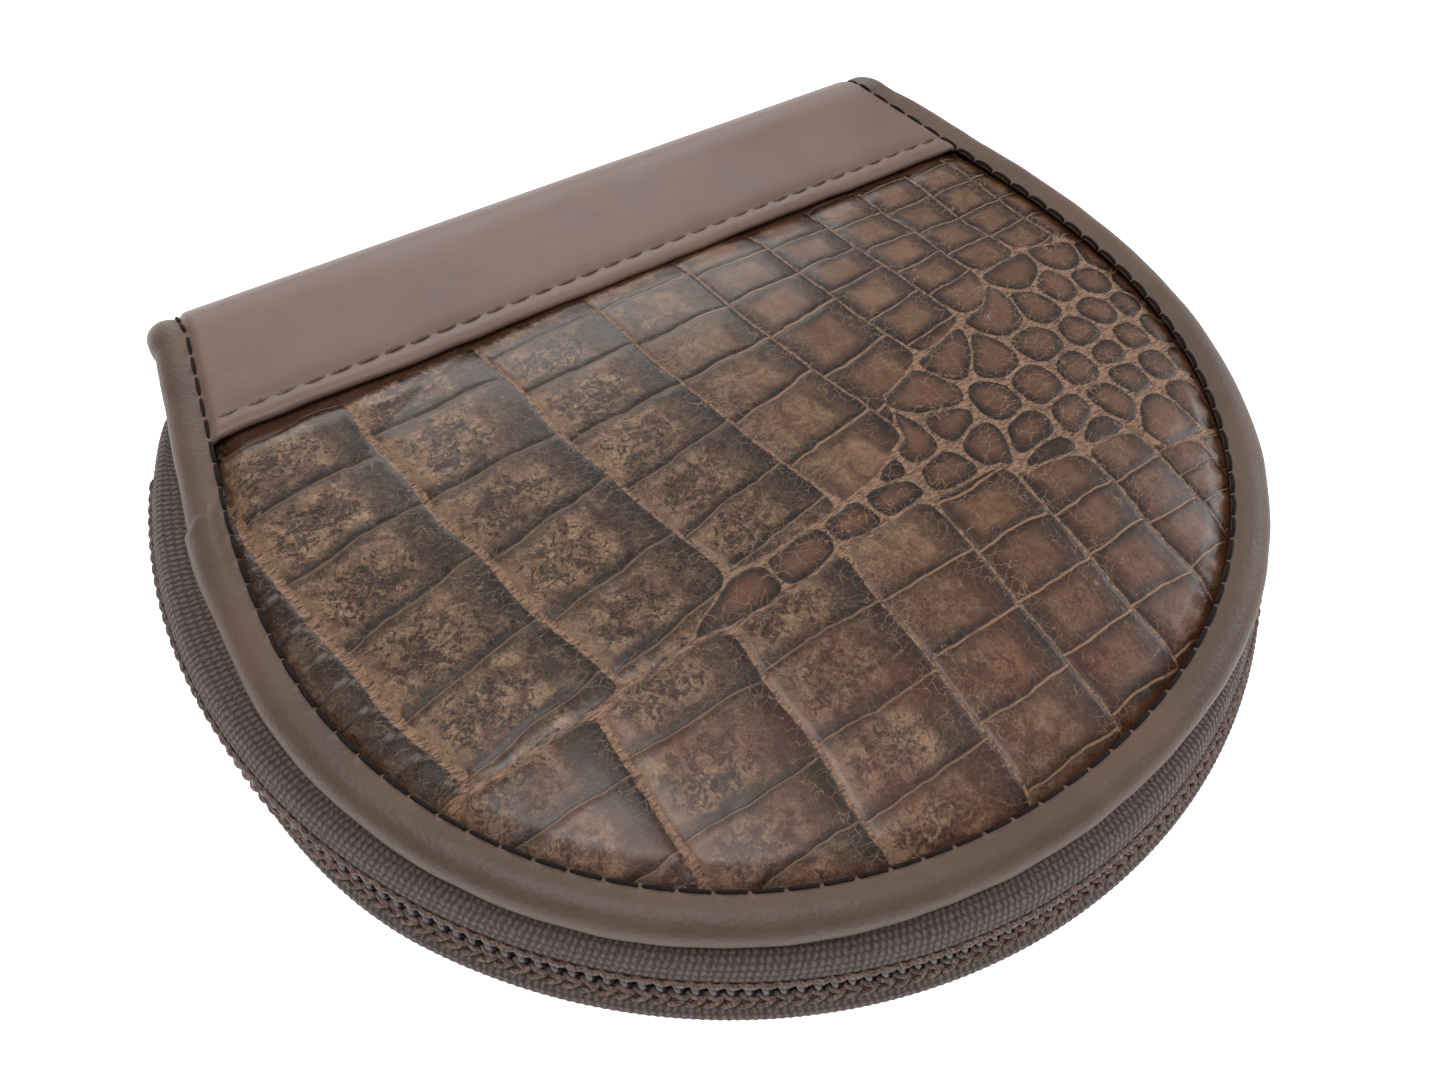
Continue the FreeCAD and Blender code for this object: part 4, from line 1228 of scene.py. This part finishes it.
def slider_bail():
    """Bridge on the slider: a flat strap bent over the pull's bar."""
    degree = math.degrees(1 / PLATE_OUT)
    climb = ((-2.25, -0.1), (-2.2, 0.7), (-2.0, 1.3), (-1.55, 1.64), (-0.8, 1.72))
    line = (*climb, (0, 1.74), *((-along, height) for along, height in reversed(climb)))
    line = rounded(line, closed=False)
    strap = ((-0.62, 0.24), (-0.45, 0.30), (0.45, 0.30), (0.62, 0.24),
             (0.68, 0.0), (0.62, -0.2), (-0.62, -0.2), (-0.68, 0.0))
    rows = []
    for (along, rise), (da, dr) in zip(line, headings(line)):
        row = []
        for side, depth in strap:
            a, r = along - dr * depth, rise + da * depth
            row.append(zip_place(SLIDER_TURN + a * degree, PLATE_OUT + r, side))
        rows.append(row)
    piece = solids("slider_bail_metal", [rows])
    dress(piece, brass)
    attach(piece, "slider")
    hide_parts("slider_bail")


def pull_tab():
    """Flat pull with bevelled edges, a waist, and a window at its bar end."""
    lean = math.radians(SLIDER_TURN - 4.0)
    ahead = np.array([math.cos(lean), math.sin(lean), 0.0])
    out = np.array([math.sin(lean), -math.cos(lean), 0.0])
    up = np.array([0.0, 0.0, 1.0])
    pin = np.array([50.414, 28.473, MID])
    start, end, round_from = -0.42, 15.0, 12.6
    half_width = 1.95

    def ring(inset, depth):
        """Closed outline of the tab, pulled in by a size."""
        rim = []
        for share in np.linspace(0, 1, 40):
            along = start + inset + (end - start - 2 * inset) * share
            width = half_width - 0.25 * math.exp(-((along - 6.2) / 2.6) ** 2)
            back = max(0.0, (along - round_from) / (end - inset - round_from))
            width *= math.sqrt(max(0.0, 1 - min(back, 1.0) ** 2.4))
            width -= inset * (1.0 if width > inset else 0.0)
            rim.append((along, max(width, 0.0)))
        loop = rim + [(a, -w) for a, w in reversed(rim[1:-1])]
        if rim[0][1] > 0:
            loop.append((rim[0][0], -rim[0][1]))
        return np.array([pin + ahead * a + up * w + out * depth for a, w in loop])

    solid = [ring(0.14, -0.45), ring(0.0, -0.30), ring(0.0, 0.30), ring(0.14, 0.45)]
    piece = solids("pull_tab_metal", [solid])
    cutter = []
    for depth in (-1.5, 1.5):
        corners = rounded([(0.46, -1.05), (3.6, -1.05), (3.6, 1.05), (0.46, 1.05)])
        cutter.append([pin + ahead * a + up * w + out * depth for a, w in corners])
    tool = solids("pull_window", [cutter])
    hole = piece.modifiers.new("window", "BOOLEAN")
    hole.object = tool
    hole.solver = "EXACT"
    graph = bpy.context.evaluated_depsgraph_get()
    mesh = bpy.data.meshes.new_from_object(piece.evaluated_get(graph))
    piece.modifiers.clear()
    piece.data = mesh
    bpy.data.objects.remove(tool)
    dress(piece, brass)
    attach(piece, "pull")
    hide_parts("pull_tab")


slider()
slider_bail()
pull_tab()

for half in ("lid", "base"):
    dress(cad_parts[half + "_stiffener"], board)
    dress(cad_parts[half + "_spine_backing"], board)


# ---------------- studio

def floor():
    """Wide white floor."""
    far = 3000
    points = [(-far, -far, 0), (far, -far, 0), (far, far, 0), (-far, far, 0)]
    piece = make_mesh("floor", points, [(0, 1, 2, 3)])
    white = Paint("white_floor").finish(Base_Color=(0.9, 0.9, 0.9, 1), Roughness=0.8,
                                        Emission_Color=(1, 1, 1, 1), Emission_Strength=0.85)
    dress(piece, white)


def lamp(name, place, target, size, power, colour=(1, 1, 1)):
    """Soft rectangular light turned to its target."""
    light = bpy.data.lights.new(name, "AREA")
    light.shape = "RECTANGLE"
    light.size, light.size_y = size
    light.energy = power
    light.color = colour
    item = bpy.data.objects.new(name, light)
    item.location = place
    item.rotation_euler = (mathutils.Vector(target) - item.location).to_track_quat("-Z", "Y").to_euler()
    stage.collection.objects.link(item)


floor()
lamp("overhead", (-0.15, -0.05, 1.1), (0, 0, 0), (0.55, 0.55), 6.0)
lamp("right_window", (0.95, -0.10, 0.50), (0, 0, 0), (0.45, 0.45), 3.2, (0.92, 0.96, 1.0))
lamp("back_soft", (0.3, 0.95, 0.55), (0, 0, 0), (0.8, 0.4), 4.4)

world = bpy.data.worlds.new("studio")
world.use_nodes = True
world.node_tree.nodes["Background"].inputs[0].default_value = (0.97, 0.98, 1.0, 1)
world.node_tree.nodes["Background"].inputs[1].default_value = 0.42
stage.world = world

camera_data = bpy.data.cameras.new("camera")
camera_data.lens = 27.405
camera_data.sensor_width = 36
camera_data.clip_start = 0.005
camera = bpy.data.objects.new("camera", camera_data)
camera.location = (-0.04386, -0.04634, 0.0917)
camera.rotation_euler = [math.radians(angle) for angle in (33.568, -4.314, -33.736)]
stage.collection.objects.link(camera)
stage.camera = camera
stage.view_settings.view_transform = "Standard"
